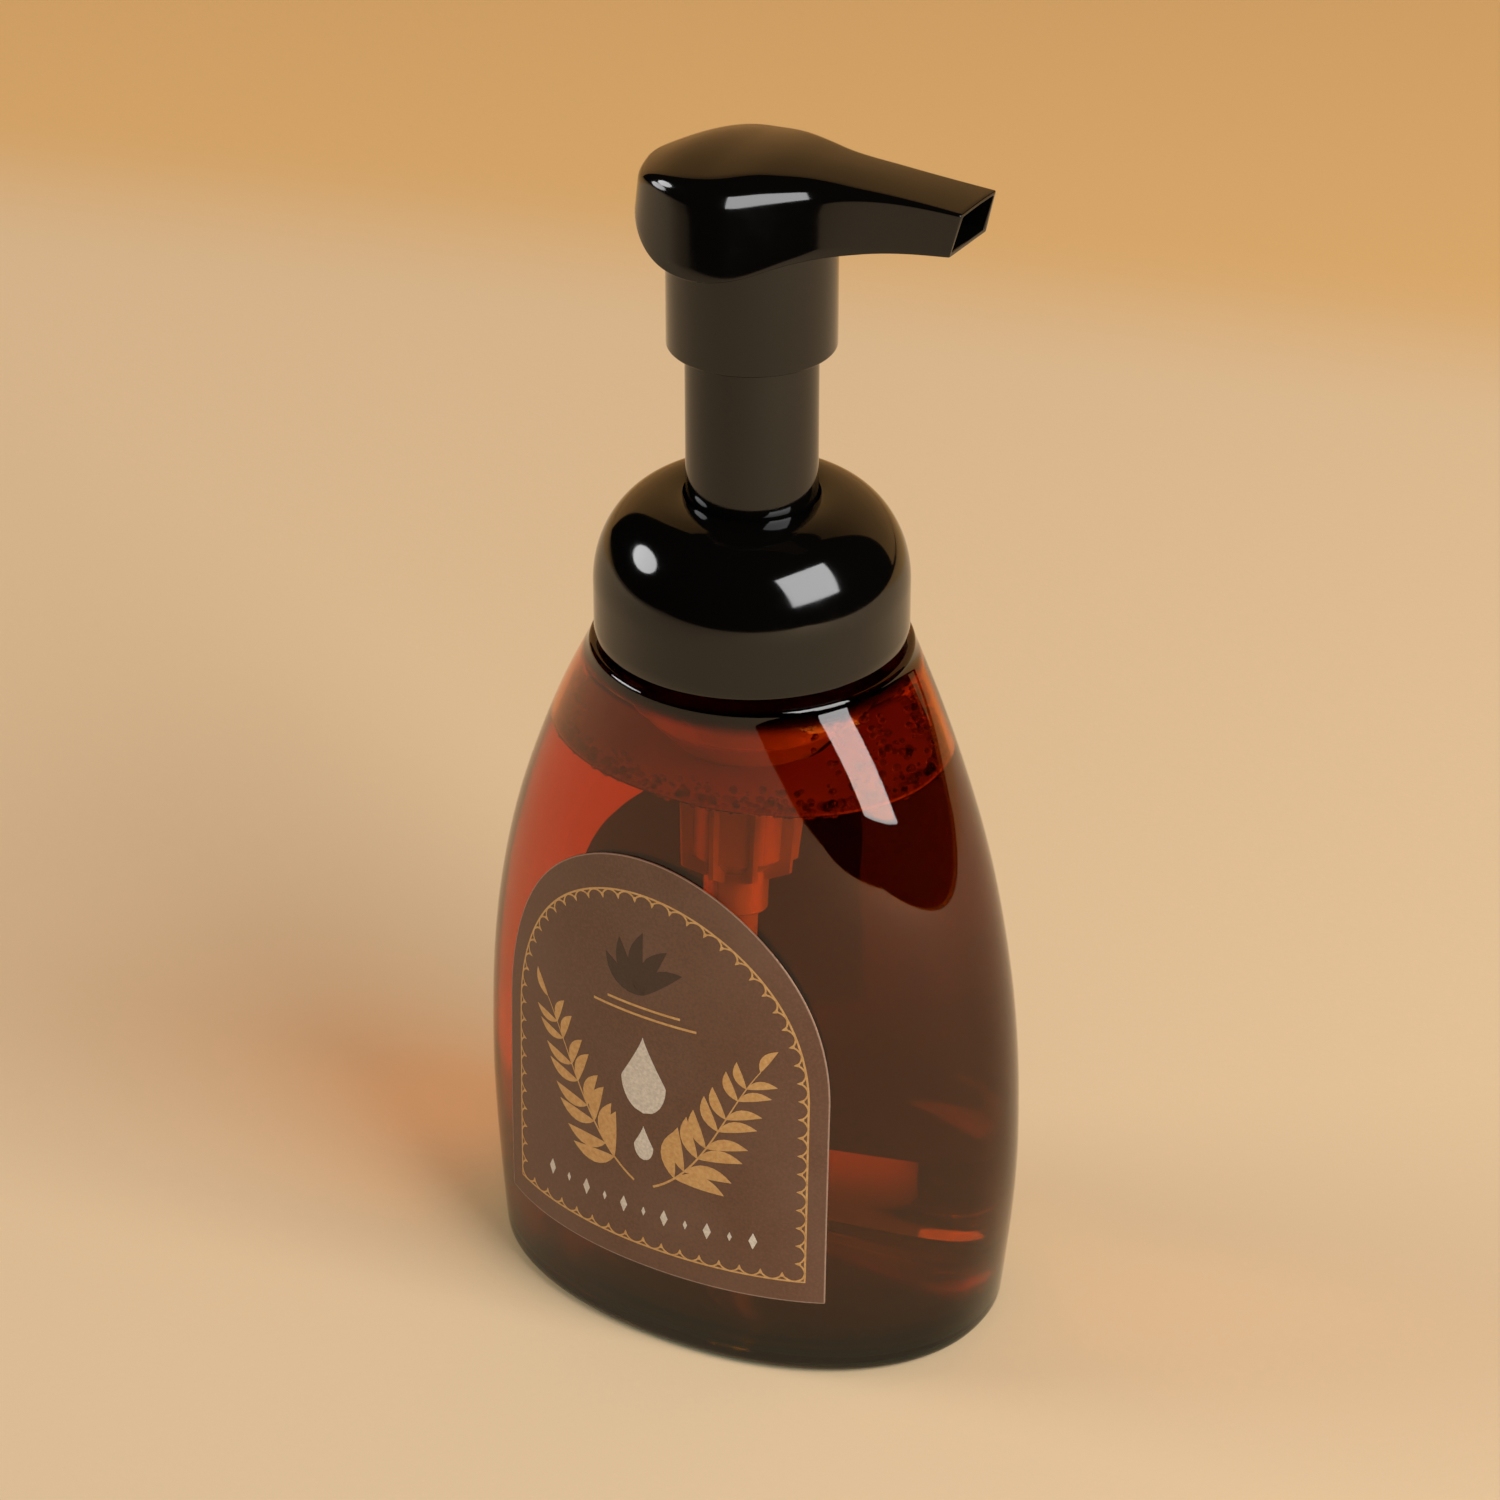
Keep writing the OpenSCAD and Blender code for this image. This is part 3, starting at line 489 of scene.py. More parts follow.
def smooth_row(table, u):
    """A table's columns at the key u, on one smooth curve."""
    def gap(i):
        return table[i + 1][0] - table[i][0]

    def rise(i, k):
        return (table[i + 1][k] - table[i][k]) / gap(i)

    def inner(i, k):
        return (rise(i - 1, k) * gap(i) + rise(i, k) * gap(i - 1)) / (gap(i - 1) + gap(i))

    last = len(table) - 1

    def slope(i, k):
        if i == 0:
            return (3 * rise(0, k) - inner(1, k)) / 2
        if i == last:
            return (3 * rise(i - 1, k) - inner(i - 1, k)) / 2
        return inner(i, k)

    i = 0
    while i < last - 1 and u >= table[i + 1][0]:
        i += 1
    h = gap(i)
    s = (u - table[i][0]) / h
    return [(2 * s ** 3 - 3 * s ** 2 + 1) * table[i][k]
            + (s ** 3 - 2 * s ** 2 + s) * h * slope(i, k)
            + (3 * s ** 2 - 2 * s ** 3) * table[i + 1][k]
            + (s ** 3 - s ** 2) * h * slope(i + 1, k)
            for k in range(1, len(table[0]))]


def signed_power(value, power):
    return copysign(abs(value) ** power, value)


def on_oval(row, inset, turn):
    """A point of the oval of one row of the bottle's form, in the direction of a turn."""
    length, depth, power = row
    return ((length - inset) * signed_power(cos(turn), 2 / power),
            (depth - inset) * signed_power(sin(turn), 2 / power))


def oval(z, inset, at):
    """The bottle's oval of height at, moved in by an inset and set at height z."""
    row = smooth_row(FORM, at)
    return [(*on_oval(row, inset, TURN * i / AROUND), z) for i in range(AROUND)]


def shrunk(ring, share, z):
    return [(x * share, y * share, z) for x, y, _ in ring]


def wall_rings(low, high, inset, count, first=0):
    """Evenly spaced rings of the wall from one height to another."""
    heights = [low + (high - low) * i / count for i in range(first, count + 1)]
    return [oval(z, inset, z) for z in heights]


def floor_rings(inset, floor, steps):
    """The rounding inside between wall and floor, in six steps counted from the wall."""
    rings = []
    for s in steps:
        z = LOW_IN - (LOW_IN - floor) * s / 6
        rings.append(oval(z, inset + HEEL * (1 - cos(QUARTER * s / 6)), z))
    return rings


def hollow_height(share):
    """Height of the hollow under the base at a share of the base's oval."""
    t = max(0.0, min(1.0, (0.9 - share) / 0.45))
    return PUSH_UP * t * t * (3 - 2 * t)


def make_bottle():
    base = oval(0, HEEL, HEEL)
    high = SHOULDER - LIP
    outer = [shrunk(base, CENTRE, PUSH_UP)]
    outer += [shrunk(base, s, hollow_height(s)) for s in BASE_SHARES]
    outer += [oval(HEEL * (1 - cos(a)), HEEL * (1 - sin(a)), HEEL)
              for a in (QUARTER * s / 8 for s in range(9))]
    outer += wall_rings(HEEL, high, 0, 96, 1)
    outer += [oval(high + LIP * sin(a), LIP * (1 - cos(a)), high)
              for a in (QUARTER * s / 6 for s in range(1, 7))]
    root = 0.5  # fillet at the neck's root
    rim = bottle_high.z
    bore = NECK_R - NECK_WALL
    neck = [round_ring(r, z) for r, z in (
        (NECK_R + root, SHOULDER), (NECK_R + 0.15, SHOULDER + 0.15),
        (NECK_R, SHOULDER + root), (NECK_R, rim - 0.4), (NECK_R - 0.12, rim - 0.12),
        (NECK_R - 0.4, rim), (bore + 0.4, rim), (bore + 0.12, rim - 0.12), (bore, rim - 0.4),
        (bore, SHOULDER + 0.4), (bore + 0.1, SHOULDER - 0.6), (bore + 0.6, SHOULDER - 1.3))]
    top_in = SHOULDER - 1.6
    inner = [oval(top_in, WALL + 1.4, top_in), oval(top_in - 0.5, WALL + 0.5, top_in - 0.5)]
    inner += wall_rings(top_in - 1.5, LOW_IN, WALL, 84)
    inner += floor_rings(WALL, BASE_T, range(1, 7))
    inside = oval(0, WALL + HEEL, HEEL)
    inner += [shrunk(inside, 0.985 * s, BASE_T + hollow_height(s)) for s in reversed(BASE_SHARES)]
    inner.append(shrunk(inside, CENTRE, PUSH_UP + BASE_T))
    return piece("bottle_shell", skin(outer + neck + inner), amber, "bottle",
                 ["bottle"], sharp=50)


bottle_shell = make_bottle()


def thread(name, radius, height, foot, turns, material, body, sign=1):
    """A screw thread: a trapezoid ridge wound on a radius, running out at both ends. It
    stands outwards, or inwards where the sign is -1."""
    steps = int(72 * turns)
    top = foot + turns * LEAD
    rings = []
    for i in range(steps + 1):
        t = i / steps
        tall = max(height * min(1.0, 10 * t, 10 * (1 - t)), 0.02)
        z = foot + (top - foot) * t
        c, s = cos(TURN * turns * t), sin(TURN * turns * t)
        rings.append([((radius + sign * out) * c, (radius + sign * out) * s, z + up)
                      for out, up in ((-0.15, -0.9), (0.0, -0.85), (tall, -0.35), (tall, 0.3),
                                      (0.0, 0.85), (-0.15, 0.9))])
    piece(name, skin(rings), material, body)


thread("neck_thread", NECK_R, 0.9, SHOULDER + 3.2, 1.4, amber, "bottle")
thread("collar_thread", collar_high.x - COLLAR_WALL, 0.75, collar_low.z + 2.0, 1.3, black,
       "collar", -1)


# ---------------- collar, lid, housing
DOME_H = 13.3
hole_r = guide_r + RUN
dome_axis = hole_r + 1.35  # centre of the dome's rounding
dome_foot = collar_high.z - DOME_H


def quarter_round(width, height, steps):
    """Points on a quarter of an ellipse, from its side up to its top."""
    return [(dome_axis + width * cos(a), dome_foot + height * sin(a))
            for a in (QUARTER * i / steps for i in range(steps + 1))]


def make_collar():
    out = collar_high.x
    bore = out - COLLAR_WALL
    low, high = collar_low.z, collar_high.z
    lip = 0.35
    outline = [(bore + 0.15, low), (out - 0.45, low), (out - 0.13, low + 0.13), (out, low + 0.45)]
    outline += [(out, low + (dome_foot - low) * i / 4) for i in range(1, 4)]
    outline += quarter_round(out - dome_axis, DOME_H, 56)
    outline += [(hole_r + lip, high), (hole_r + 0.1, high - 0.1), (hole_r, high - lip),
                (hole_r, high - COLLAR_WALL)]
    outline += quarter_round(out - dome_axis - COLLAR_WALL, DOME_H - COLLAR_WALL, 40)[::-1]
    outline += [(bore, low + 0.2)]
    ledge_low, ledge_high = lid_low.z + 1.65, dome_foot + DOME_H * 0.8
    ledge = [(AIR_R, ledge_low), (AIR_R + 2, ledge_low), (AIR_R + 2, ledge_high),
             (AIR_R, ledge_high)]
    piece("collar_shell", merge([turned(outline), turned(ledge)]), black, "collar",
          ["screw_collar"])


def make_lid():
    """The lid's plate and guide tube, with the seat of the wiper."""
    bore = guide_r - 1.35
    top, low = lid_high.z, lid_low.z
    plate = low + 1.6
    seat = edges("stem_wiper")[0].z - FIT
    stem_hole = stem_high.x + RUN
    outline = soften([
        (bore, low, 0), (lid_high.x, low, 0.2), (lid_high.x, plate, 0.3),
        (guide_r + 3, plate, 0.3), (guide_r, plate + 2.2, 0.8), (guide_r, top, 0.4),
        (bore, top, 0.35), (bore, seat, 0), (stem_hole, seat, 0.2),
        (stem_hole, seat - 1.6, 0.2), (bore, seat - 1.6, 0.3)])
    piece("guide_tube", turned(outline), black, "pump", ["pump_lid"])


def make_housing():
    """The foam engine's housing: flange, air cylinder, bowl, steps, ribs and socket."""
    wall = 1.0
    flange, top = housing_high.x, housing_high.z
    bore_r = AIR_R - wall
    tube_r, cage_r = tube_high.x + FIT, cage_high.x + FIT
    socket_r, tower_r = tube_r + wall, cage_r + wall
    plate = edges("air_piston")[0].z + 2.6
    bore_foot = plate - 2.6 - STROKE - 0.1
    bowl_z = bore_foot - 6.0
    bowl_r = tower_r + 0.8 + 0.9 + 1.5
    tower_top = plate - STROKE - 0.7
    step_1, step_2 = bowl_z - 1.2, bowl_z - 2.8
    foot_z = step_2 - 2.6
    foot_r = tower_r + 0.6
    cage_z, socket_z = cage_low.z, housing_low.z
    socket_top = cage_z - 1.4
    outline = soften([
        (bore_r, top, 0.2), (flange, top, 0.25), (flange, top - 1.6, 0.25), (AIR_R, top - 1.6, 0.3),
        (AIR_R, bore_foot, 1.2), (bowl_r + 0.8, step_1, 0.5), (bowl_r + 0.8, step_2, 0.3),
        (bowl_r - 0.9, step_2, 0.25), (bowl_r - 0.9, foot_z, 0.3), (foot_r, foot_z - 0.6, 0.25),
        (foot_r, cage_z, 0.2), (socket_r, socket_top - 0.6, 0.3), (socket_r, socket_z, 0.25),
        (tube_r, socket_z, 0.2), (tube_r, socket_top, 0), (1.2, socket_top, 0.1),
        (1.2, cage_z, 0.1), (cage_r, cage_z, 0), (cage_r, tower_top, 0.25),
        (tower_r, tower_top, 0.25), (tower_r, bowl_z, 0.5), (bowl_r, bowl_z, 0.5),
        (bore_r, bore_foot, 0.04)])
    shapes = [turned(outline, 160)]
    rib_foot = socket_top - 2
    for i in range(8):
        c, s = cos(TURN * i / 8), sin(TURN * i / 8)
        shapes.append(skin([
            [(r * c - y * s, r * s + y * c, z)
             for r, y in ((root, -0.4), (reach, -0.3), (reach, 0.3), (root, 0.4))]
            for z, root, reach in ((rib_foot, socket_r - 0.1, socket_r + 0.3),
                                   (rib_foot + 1.5, socket_r - 0.1, bowl_r - 1.3),
                                   (cage_z, tower_r - 0.6, bowl_r - 1.25),
                                   (foot_z, tower_r - 0.4, bowl_r - 1.0))]))
    piece("housing_shell", merge(shapes), natural, "pump",
          ["pump_housing"])


def make_spring():
    """The return spring: a round wire with closed ends, on a mesh of its own."""
    wire, turns, sides, steps = 0.9, 7.5, 10, 28
    mean_r = spring_high.x - wire / 2
    foot = spring_low.z + wire / 2
    tall = spring_high.z - spring_low.z
    rise = tall - wire
    heights = [(0.0, 0.0), (1.0, wire), (turns - 1.0, rise - wire), (turns, rise)]
    rings = []
    for t in (j / steps for j in range(int(turns * steps) + 1)):
        (t0, z0), (t1, z1) = next(pair for pair in zip(heights, heights[1:]) if t <= pair[1][0])
        z = foot + z0 + (z1 - z0) * (t - t0) / (t1 - t0)
        ring = []
        for b in (TURN * i / sides for i in range(sides)):
            r = mean_r + wire / 2 * cos(b)
            ring.append((r * cos(TURN * t), r * sin(TURN * t),
                         z - wire / 2 * sin(b)))
        rings.append(ring)
    spring = piece("spring_wire", skin(rings), spring_steel, "pump",
                   ["return_spring"], sharp=60)
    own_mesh(spring)


make_collar()
make_lid()
make_housing()
make_spring()


# ---------------- the pump head
CEILING = stem_high.z + 0.1  # where the stem ends in the head
BODY_FOOT = head_low.z + 12.7  # lower end of the head's body
CROWN = head_high.z
MOUTH_X = head_high.x
WIDEST_X = -0.9
SPOUT_X = 12.0  # where the mouth's slant begins
HALF_W = head_high.y
MOUTH_HALF = 4.9
MOUTH_TALL = 6.3
MOUTH_WALL = 0.6
MOUTH_SLANT = 1.5  # how far the mouth's lower edge lies back
EDGE_LIP = 0.22  # rounding along the underside's edge
BACK = WIDEST_X - head_low.x
# Reach, half width of the underside's edge
HEAD_PLAN = [(WIDEST_X - 4, HALF_W * sqrt(1 - (4 / BACK) ** 2)),
             (WIDEST_X, HALF_W), (WIDEST_X + 4.5, HALF_W - 0.7), (WIDEST_X + 9.5, HALF_W - 3.4),
             (WIDEST_X + 13.5, HALF_W - 5.7), (20.0, MOUTH_HALF + 1.1), (MOUTH_X, MOUTH_HALF)]
# Reach, crown's middle line, its fall to the sides, underside, lean of the side in degrees,
# length of the edge's rounding on the crown, and on the side
HEAD_FORM = [(head_low.x, CROWN - 4.5, 1.0, BODY_FOOT + 7.0, 5.7, 1.0, 1.2),
             (-9.0, CROWN - 1.5, 2.1, BODY_FOOT + 2.6, 7.5, 1.3, 1.6),
             (-1.0, CROWN - 0.5, 2.2, BODY_FOOT + 1.1, 11.0, 2.2, 3.0),
             (5.0, CROWN, 1.8, BODY_FOOT + 2.0, 12.2, 2.4, 3.7),
             (11.0, CROWN - 0.1, 1.2, BODY_FOOT + 4.2, 10.2, 2.0, 3.0),
             (20.0, CROWN - 0.4, 0.5, BODY_FOOT + 6.3, 2.6, 1.2, 1.4),
             (MOUTH_X, CROWN - 1.0, 0.2, CROWN - 1.0 - MOUTH_TALL, 2.0, 0.35, 0.45)]


def foot_half(x):
    """Half width of the underside at a reach."""
    if x < WIDEST_X:
        return HALF_W * sqrt(max(0.0, 1 - ((WIDEST_X - x) / BACK) ** 2))
    return smooth_row(HEAD_PLAN, x)[0]


def crown_point(x, y):
    top, fall = smooth_row(HEAD_FORM, x)[:2]
    return Vector((x, y, top - fall * (y / max(4.5, foot_half(x))) ** 2))


def head_ring(x, half, out_x, out_y):
    """A ring of the head's body at a station with its outward direction."""
    top, _, low, lean, on_crown, on_side = smooth_row(HEAD_FORM, x)
    slant = tan(radians(lean))
    foot = Vector((x, half, low))

    def moved_in(inward):
        return crown_point(x - out_x * inward, max(0.0, half - out_y * inward))

    inward = (crown_point(x, half).z - low) * slant
    inward = (moved_in(inward).z - low) * slant
    edge, crown = moved_in(inward), moved_in(inward + on_crown)
    wall = edge + (foot - edge) * (on_side / (foot - edge).length)
    inside = Vector((x - out_x * EDGE_LIP, max(0.0, half - out_y * EDGE_LIP), low))
    up = foot + (wall - foot) * (EDGE_LIP / (wall - foot).length)
    side = [bend(inside, foot, up, i / 3) for i in range(4)]
    side += [up + (wall - up) * i / 6 for i in range(1, 6)]
    side += [bend(wall, edge, crown, i / 16) for i in range(17)]
    side += [crown_point(crown.x, crown.y * (1 - i / 16)) for i in range(1, 16)]
    far = max(0.0, (x - SPOUT_X) / (MOUTH_X - SPOUT_X))
    ring = side + [crown_point(crown.x, 0.0)] + [Vector((p.x, -p.y, p.z)) for p in reversed(side)]
    return [(p.x - far * MOUTH_SLANT * (top - p.z) / (top - low), p.y, p.z) for p in ring]


def head_stations():
    """Reach, half width and outward direction, from the back to the mouth."""
    stations = []
    for i in range(30):
        a = radians(1.5 + 88.5 * i / 29)
        across, along = HALF_W * cos(a), BACK * sin(a)
        size = hypot(across, along)
        stations.append((WIDEST_X - BACK * cos(a), HALF_W * sin(a), -across / size,
                         along / size))
    for i in range(1, 61):
        x = WIDEST_X + (MOUTH_X - WIDEST_X) * i / 60
        slope = (foot_half(x + 0.05) - foot_half(x - 0.05)) / 0.1
        size = hypot(1, slope)
        stations.append((x, foot_half(x), -slope / size, 1 / size))
    return stations


def mouth_ring(rim, wall, back):
    """The mouth's own ring, moved in by a wall and set back into the spout."""
    low = min(p[2] for p in rim)
    tall = max(p[2] for p in rim) - low
    middle = low + tall / 2
    return [(x - back, y * (MOUTH_HALF - wall) / MOUTH_HALF,
             middle + (z - middle) * (tall / 2 - wall) / (tall / 2)) for x, y, z in rim]


def cut_away(thing, shape):
    """Takes a closed form out of a piece."""
    cutter = add_object("cutter", new_mesh("cutter", shape))
    step = thing.modifiers.new("cut", "BOOLEAN")
    step.operation, step.solver, step.object = "DIFFERENCE", "EXACT", cutter
    bpy.context.view_layer.update()
    whole = thing.evaluated_get(bpy.context.evaluated_depsgraph_get())
    made = bpy.data.meshes.new_from_object(whole)
    thing.modifiers.clear()
    thing.data = made
    bpy.data.objects.remove(cutter)
    crease(made)


def make_head():
    """The head's body with its crown, spout and mouth, hollowed out for the sleeve."""
    rings = [head_ring(*station) for station in head_stations()]
    rim = rings.pop()
    rings += [mouth_ring(rim, wall, back) for wall, back in (
        (0.0, 0.12), (0.04, 0.03), (0.12, 0.0), (MOUTH_WALL - 0.1, 0.0), (MOUTH_WALL, 0.1),
        (MOUTH_WALL + 0.1, 2.0), (MOUTH_WALL + 0.15, 24.0))]
    count = len(rings[0])
    top = (count - 1) // 2
    points, faces = skin(rings, closed=False)
    end = (len(rings) - 1) * count
    for k in range(top - 1):
        faces.append((count - 1 - k, count - 2 - k, k + 1, k))
        faces.append((end + k, end + k + 1, end + count - 2 - k, end + count - 1 - k))
    faces += [(top + 1, top, top - 1), (end + top - 1, end + top, end + top + 1)]
    head = piece("head_shell", (points, faces), black, "head", ["pump_head"])
    core, low = sleeve_r - 0.3, BODY_FOOT - 4
    cut_away(head, turned([(0.0, low), (core, low), (core, CEILING), (0.0, CEILING)], 128))
    return head


def make_sleeve():
    """The head's sleeve with the stem's socket inside it."""
    bore, stem_r = sleeve_r - 1.3, stem_high.x
    low, socket_low, top = head_low.z, BODY_FOOT - 2.2, CEILING + 0.5
    outline = soften([
        (bore, low, 0.3), (sleeve_r, low, 0.3), (sleeve_r, top, 0), (stem_r - 1.2, top, 0),
        (stem_r - 1.2, CEILING, 0), (stem_r + FIT, CEILING, 0), (stem_r + FIT, socket_low, 0.2),
        (stem_r + 1.3, socket_low, 0.2), (stem_r + 1.3, CEILING, 0), (bore, CEILING, 0)])
    piece("head_sleeve", turned(outline), black, "head")


head_shell = make_head()
make_sleeve()


# ---------------- labels
LABEL_GAP = 0.12  # between the bottle and its labels
FILM_T = 0.2
ARCH_Z = 45.0  # where the label's arch springs
LABEL_X = (label_low.x + label_high.x) / 2 - 0.15
LABEL_HALF = (label_high.x - label_low.x) / 2 + 0.6
LABEL_TOP = label_high.z + 0.8


def face_y(x, z):
    """How far the bottle's side is from its long axis."""
    length, depth, power = smooth_row(FORM, z)
    return depth * (1 - (abs(x) / length) ** power) ** (1 / power)


def even(line, step):
    """The same line with points evenly spaced, close to the step asked for."""
    lengths = [0.0]
    for a, b in zip(line, line[1:]):
        lengths.append(lengths[-1] + dist(a, b))
    count = max(1, round(lengths[-1] / step))
    made, j = [], 0
    for i in range(count + 1):
        goal = lengths[-1] * i / count
        while j < len(line) - 2 and lengths[j + 1] < goal:
            j += 1
        t = (goal - lengths[j]) / max(1e-9, lengths[j + 1] - lengths[j])
        made.append(tuple(a + (b - a) * t for a, b in zip(line[j], line[j + 1])))
    return made


def arch_line(half, low, top, step):
    """The arched outline from its lower left corner round to its lower right, evenly spaced."""
    line = [(-half, low + (ARCH_Z - low) * i / 40) for i in range(40)]
    line += [(-half * cos(a), ARCH_Z + (top - ARCH_Z) * sin(a))
             for a in (pi * i / 120 for i in range(121))]
    line += [(half, ARCH_Z + (low - ARCH_Z) * i / 40) for i in range(1, 41)]
    return even(line, step)


def foot_line(half, low, step):
    """The outline's straight foot, from right to left."""
    return even([(half, low), (-half, low)], step)


def on_face(x, z, off, middle, side):
    """A point of a label's plane laid on the bottle; side is -1 in front and 1 behind."""
    return (-side * (middle + x) if side > 0 else middle + x,
            side * (face_y(middle + x, z) + off), z)


def laid(name, middle, side, half, inner_off, outer_off, material, replaced):
    """A sheet on the bottle's side: rows at its inner and its outer face."""
    low, top = label_low.z + LABEL_HALF - half, LABEL_TOP - LABEL_HALF + half
    rows = [(half, low + (ARCH_Z - low) * j / 28) for j in range(29)]
    rows += [(half * cos(a), ARCH_Z + (top - ARCH_Z) * sin(a))
             for a in (radians(88 * j / 48) for j in range(1, 49))]
    columns = 48
    rings = []
    for w, z in rows:
        line = [w * (2 * i / columns - 1) for i in range(columns + 1)]
        outer = [on_face(x, z, outer_off, middle, side) for x in line]
        rings.append(outer + [on_face(x, z, inner_off, middle, side) for x in reversed(line)])
    points, faces = skin(rings)
    if side > 0:
        faces = [tuple(reversed(face)) for face in faces]
    piece(name, (points, faces), material, "bottle", replaced, sharp=40)


def make_label(name, middle, side, replaced):
    """The film, and the coat of glue that holds it to the bottle, whose near-black colour is
    painted shade on the film's inner side.
    """
    laid(name + "_glue_painted_shade", middle, side, LABEL_HALF - 0.2, -INTO_WALL, LABEL_GAP - 0.01, glue_with_painted_shade,
         None)
    laid(name, middle, side, LABEL_HALF, LABEL_GAP, LABEL_GAP + FILM_T, label_brown, replaced)


def square_to(a, b):
    """The direction square to the way from a to b, on its right."""
    size = hypot(b[0] - a[0], b[1] - a[1]) or 1.0
    return (b[1] - a[1]) / size, -(b[0] - a[0]) / size


def ribbon(line, widths, middle, side=-1, loop=False, rise=0.03, sunk=0.03):
    """A flat ribbon of ink on the label along a line of (x, z), widths in millimetres. It is
    cut lengthwise where it is wide, so that it follows the bottle."""
    count = len(line)
    if not isinstance(widths, list):
        widths = [widths] * count
    cuts = ceil(max(widths) / 1.4)
    rings = []
    for i, (x, z) in enumerate(line):
        ix, iz = square_to(line[(i - 1) % count] if loop or i > 0 else line[0],
                           line[(i + 1) % count] if loop or i < count - 1 else line[-1])
        spots = [widths[i] / 2 * (2 * k / cuts - 1) for k in range(cuts + 1)]
        rings.append([on_face(x - ix * k, z - iz * k, LABEL_GAP + FILM_T + off, middle, side)
                      for k, off in [(k, -sunk) for k in spots]
                      + [(k, rise) for k in reversed(spots)]])
    return skin(rings, loop=loop)


def print_on(name, shapes, ink):
    """A printed piece of a label."""
    piece(name, merge(shapes), ink, "bottle", fair=False)


def scallops(line, depth):
    """Small arcs that swing between an outline and cusps that point inwards."""
    made = []
    for a, b in zip(line, line[1:]):
        ix, iz = square_to(a, b)
        for t in (s / 8 for s in range(8)):
            dip = depth * (1 - sin(pi * t) ** 0.7)
            made.append((a[0] + (b[0] - a[0]) * t + ix * dip,
                         a[1] + (b[1] - a[1]) * t + iz * dip))
    return made


def swung(x, z, along, up, turn):
    """A point given along and up from (x, z), with both directions swung by a turn."""
    return (x + along * cos(turn) - up * sin(turn),
            z + along * sin(turn) + up * cos(turn))


def heading(a, b):
    return atan2(b[1] - a[1], b[0] - a[0])


def leaf(x, z, turn, long, wide):
    """A leaf's middle line and widths, from its foot to its tip."""
    shares = [i / 8 for i in range(9)]
    return ([swung(x, z, long * t, 0.12 * long * sin(pi * t), turn) for t in shares],
            [max(0.04, wide * sin(pi * min(1, t * 1.02)) ** 0.8) for t in shares])


def sprig(x, z, tall, turn, pairs, bow):
    """A curved stalk with pairs of leaves that shorten towards its tip."""
    stalk = [swung(x, z, bow * sin(pi * 0.5 * t) * t, tall * t, turn)
             for t in (i / 24 for i in range(25))]
    lines = [(stalk, [0.34 - 0.2 * i / 24 for i in range(25)])]
    for k in range(pairs):
        i = 4 + round(17 * k / (pairs - 1))
        way = heading(stalk[i - 1], stalk[i + 1])
        long = tall * (0.30 - 0.13 * k / (pairs - 1))
        lines += [leaf(*stalk[i], way + hand * 0.85, long, 0.30 * long) for hand in (-1, 1)]
    lines.append(leaf(*stalk[-1], heading(stalk[-3], stalk[-1]), tall * 0.17, tall * 0.05))
    return lines


def make_border(name, middle, side):
    """The gold border, an arched line with small scallops inside it, and the cut edge."""
    def closed(half, low, top):
        return arch_line(half, low, top, 0.8) + foot_line(half, low, 0.8)[1:-1]

    half, low, top = LABEL_HALF - 2.6, label_low.z + 3.4, LABEL_TOP - 5.2
    lines = arch_line(half, low, top, 3.0), foot_line(half, low, 3.0)
    wave = scallops(lines[0], 0.95) + scallops(lines[1], 0.95)
    shapes = [ribbon(closed(half, low, top), 0.26, middle, side, loop=True),
              ribbon(wave, 0.24, middle, side, loop=True)]
    for line in lines:
        for before, (x, z), after in zip(line, line[1:], line[2:]):
            ix, iz = square_to(before, after)
            shapes.append(ribbon([(x + ix * r, z + iz * r) for r in (0.55, 0.95, 1.35)],
                                 [0.62, 0.42, 0.05], middle, side))
    print_on(name + "_border", shapes, gold)
    edge = closed(LABEL_HALF - 0.05, label_low.z + 0.05, LABEL_TOP - 0.09)
    print_on(name + "_edge", [ribbon(edge, 0.13, middle, side, loop=True, rise=0.015,
                                     sunk=FILM_T - 0.01)], cut_edge)


def drop(middle_z, tall, wide):
    """A drop's middle line and widths, from its round foot to its tip."""
    belly = 0.42  # share of the height where it is widest
    line, widths = [], []
    for t in (i / 32 for i in range(33)):
        line.append((0.0, middle_z + tall * (t - belly)))
        taper = 1.0 if t < belly else ((1 - t) / (1 - belly)) ** 1.15
        widths.append(max(0.05, wide * sqrt(1 - (min(t, belly) / belly - 1) ** 2) * taper))
    return line, widths


def make_design():
    """A plain botanical design: a wreath of two sprigs round two drops, bars and a bud over
    them, and a row of lozenges below."""
    gold_lines, pale_lines, dark_lines = [], [], []
    for hand in (-1, 1):
        gold_lines += sprig(hand * 1.6, 26.5, 25.5, -hand * 1.06, 8, -hand * 12.5)
    for z, half in ((54.2, 8.5), (55.6, 6.0)):
        gold_lines.append((even([(-half, z), (half, z)], 1.0), 0.36))
    pale_lines += [drop(43.5, 12.5, 7.4), drop(32.8, 5.6, 3.2)]
    for i in range(11):
        x, tall = 3.4 * (i - 5), 0.7 if i % 2 else 1.3
        pale_lines.append(([(x, 21.8 - tall), (x, 21.8), (x, 21.8 + tall)],
                           [0.05, tall * 0.95, 0.05]))
    for turn in (-0.9, -0.45, 0.0, 0.45, 0.9):
        dark_lines.append(leaf(0.0, 57.6, QUARTER + turn, 10.0 - 2.2 * abs(turn), 2.4))
    for name, lines, ink in (("label_sprigs", gold_lines, gold),
                             ("label_drop", pale_lines, cream),
                             ("label_bud", dark_lines, dark_ink)):
        print_on(name, [ribbon(line, widths, LABEL_X) for line, widths in lines], ink)


make_label("front_film", LABEL_X, -1, ["front_label"])
make_label("back_film", 0.0, 1, ["back_label"])
make_border("front", LABEL_X, -1)
make_border("back", 0.0, 1)
make_design()


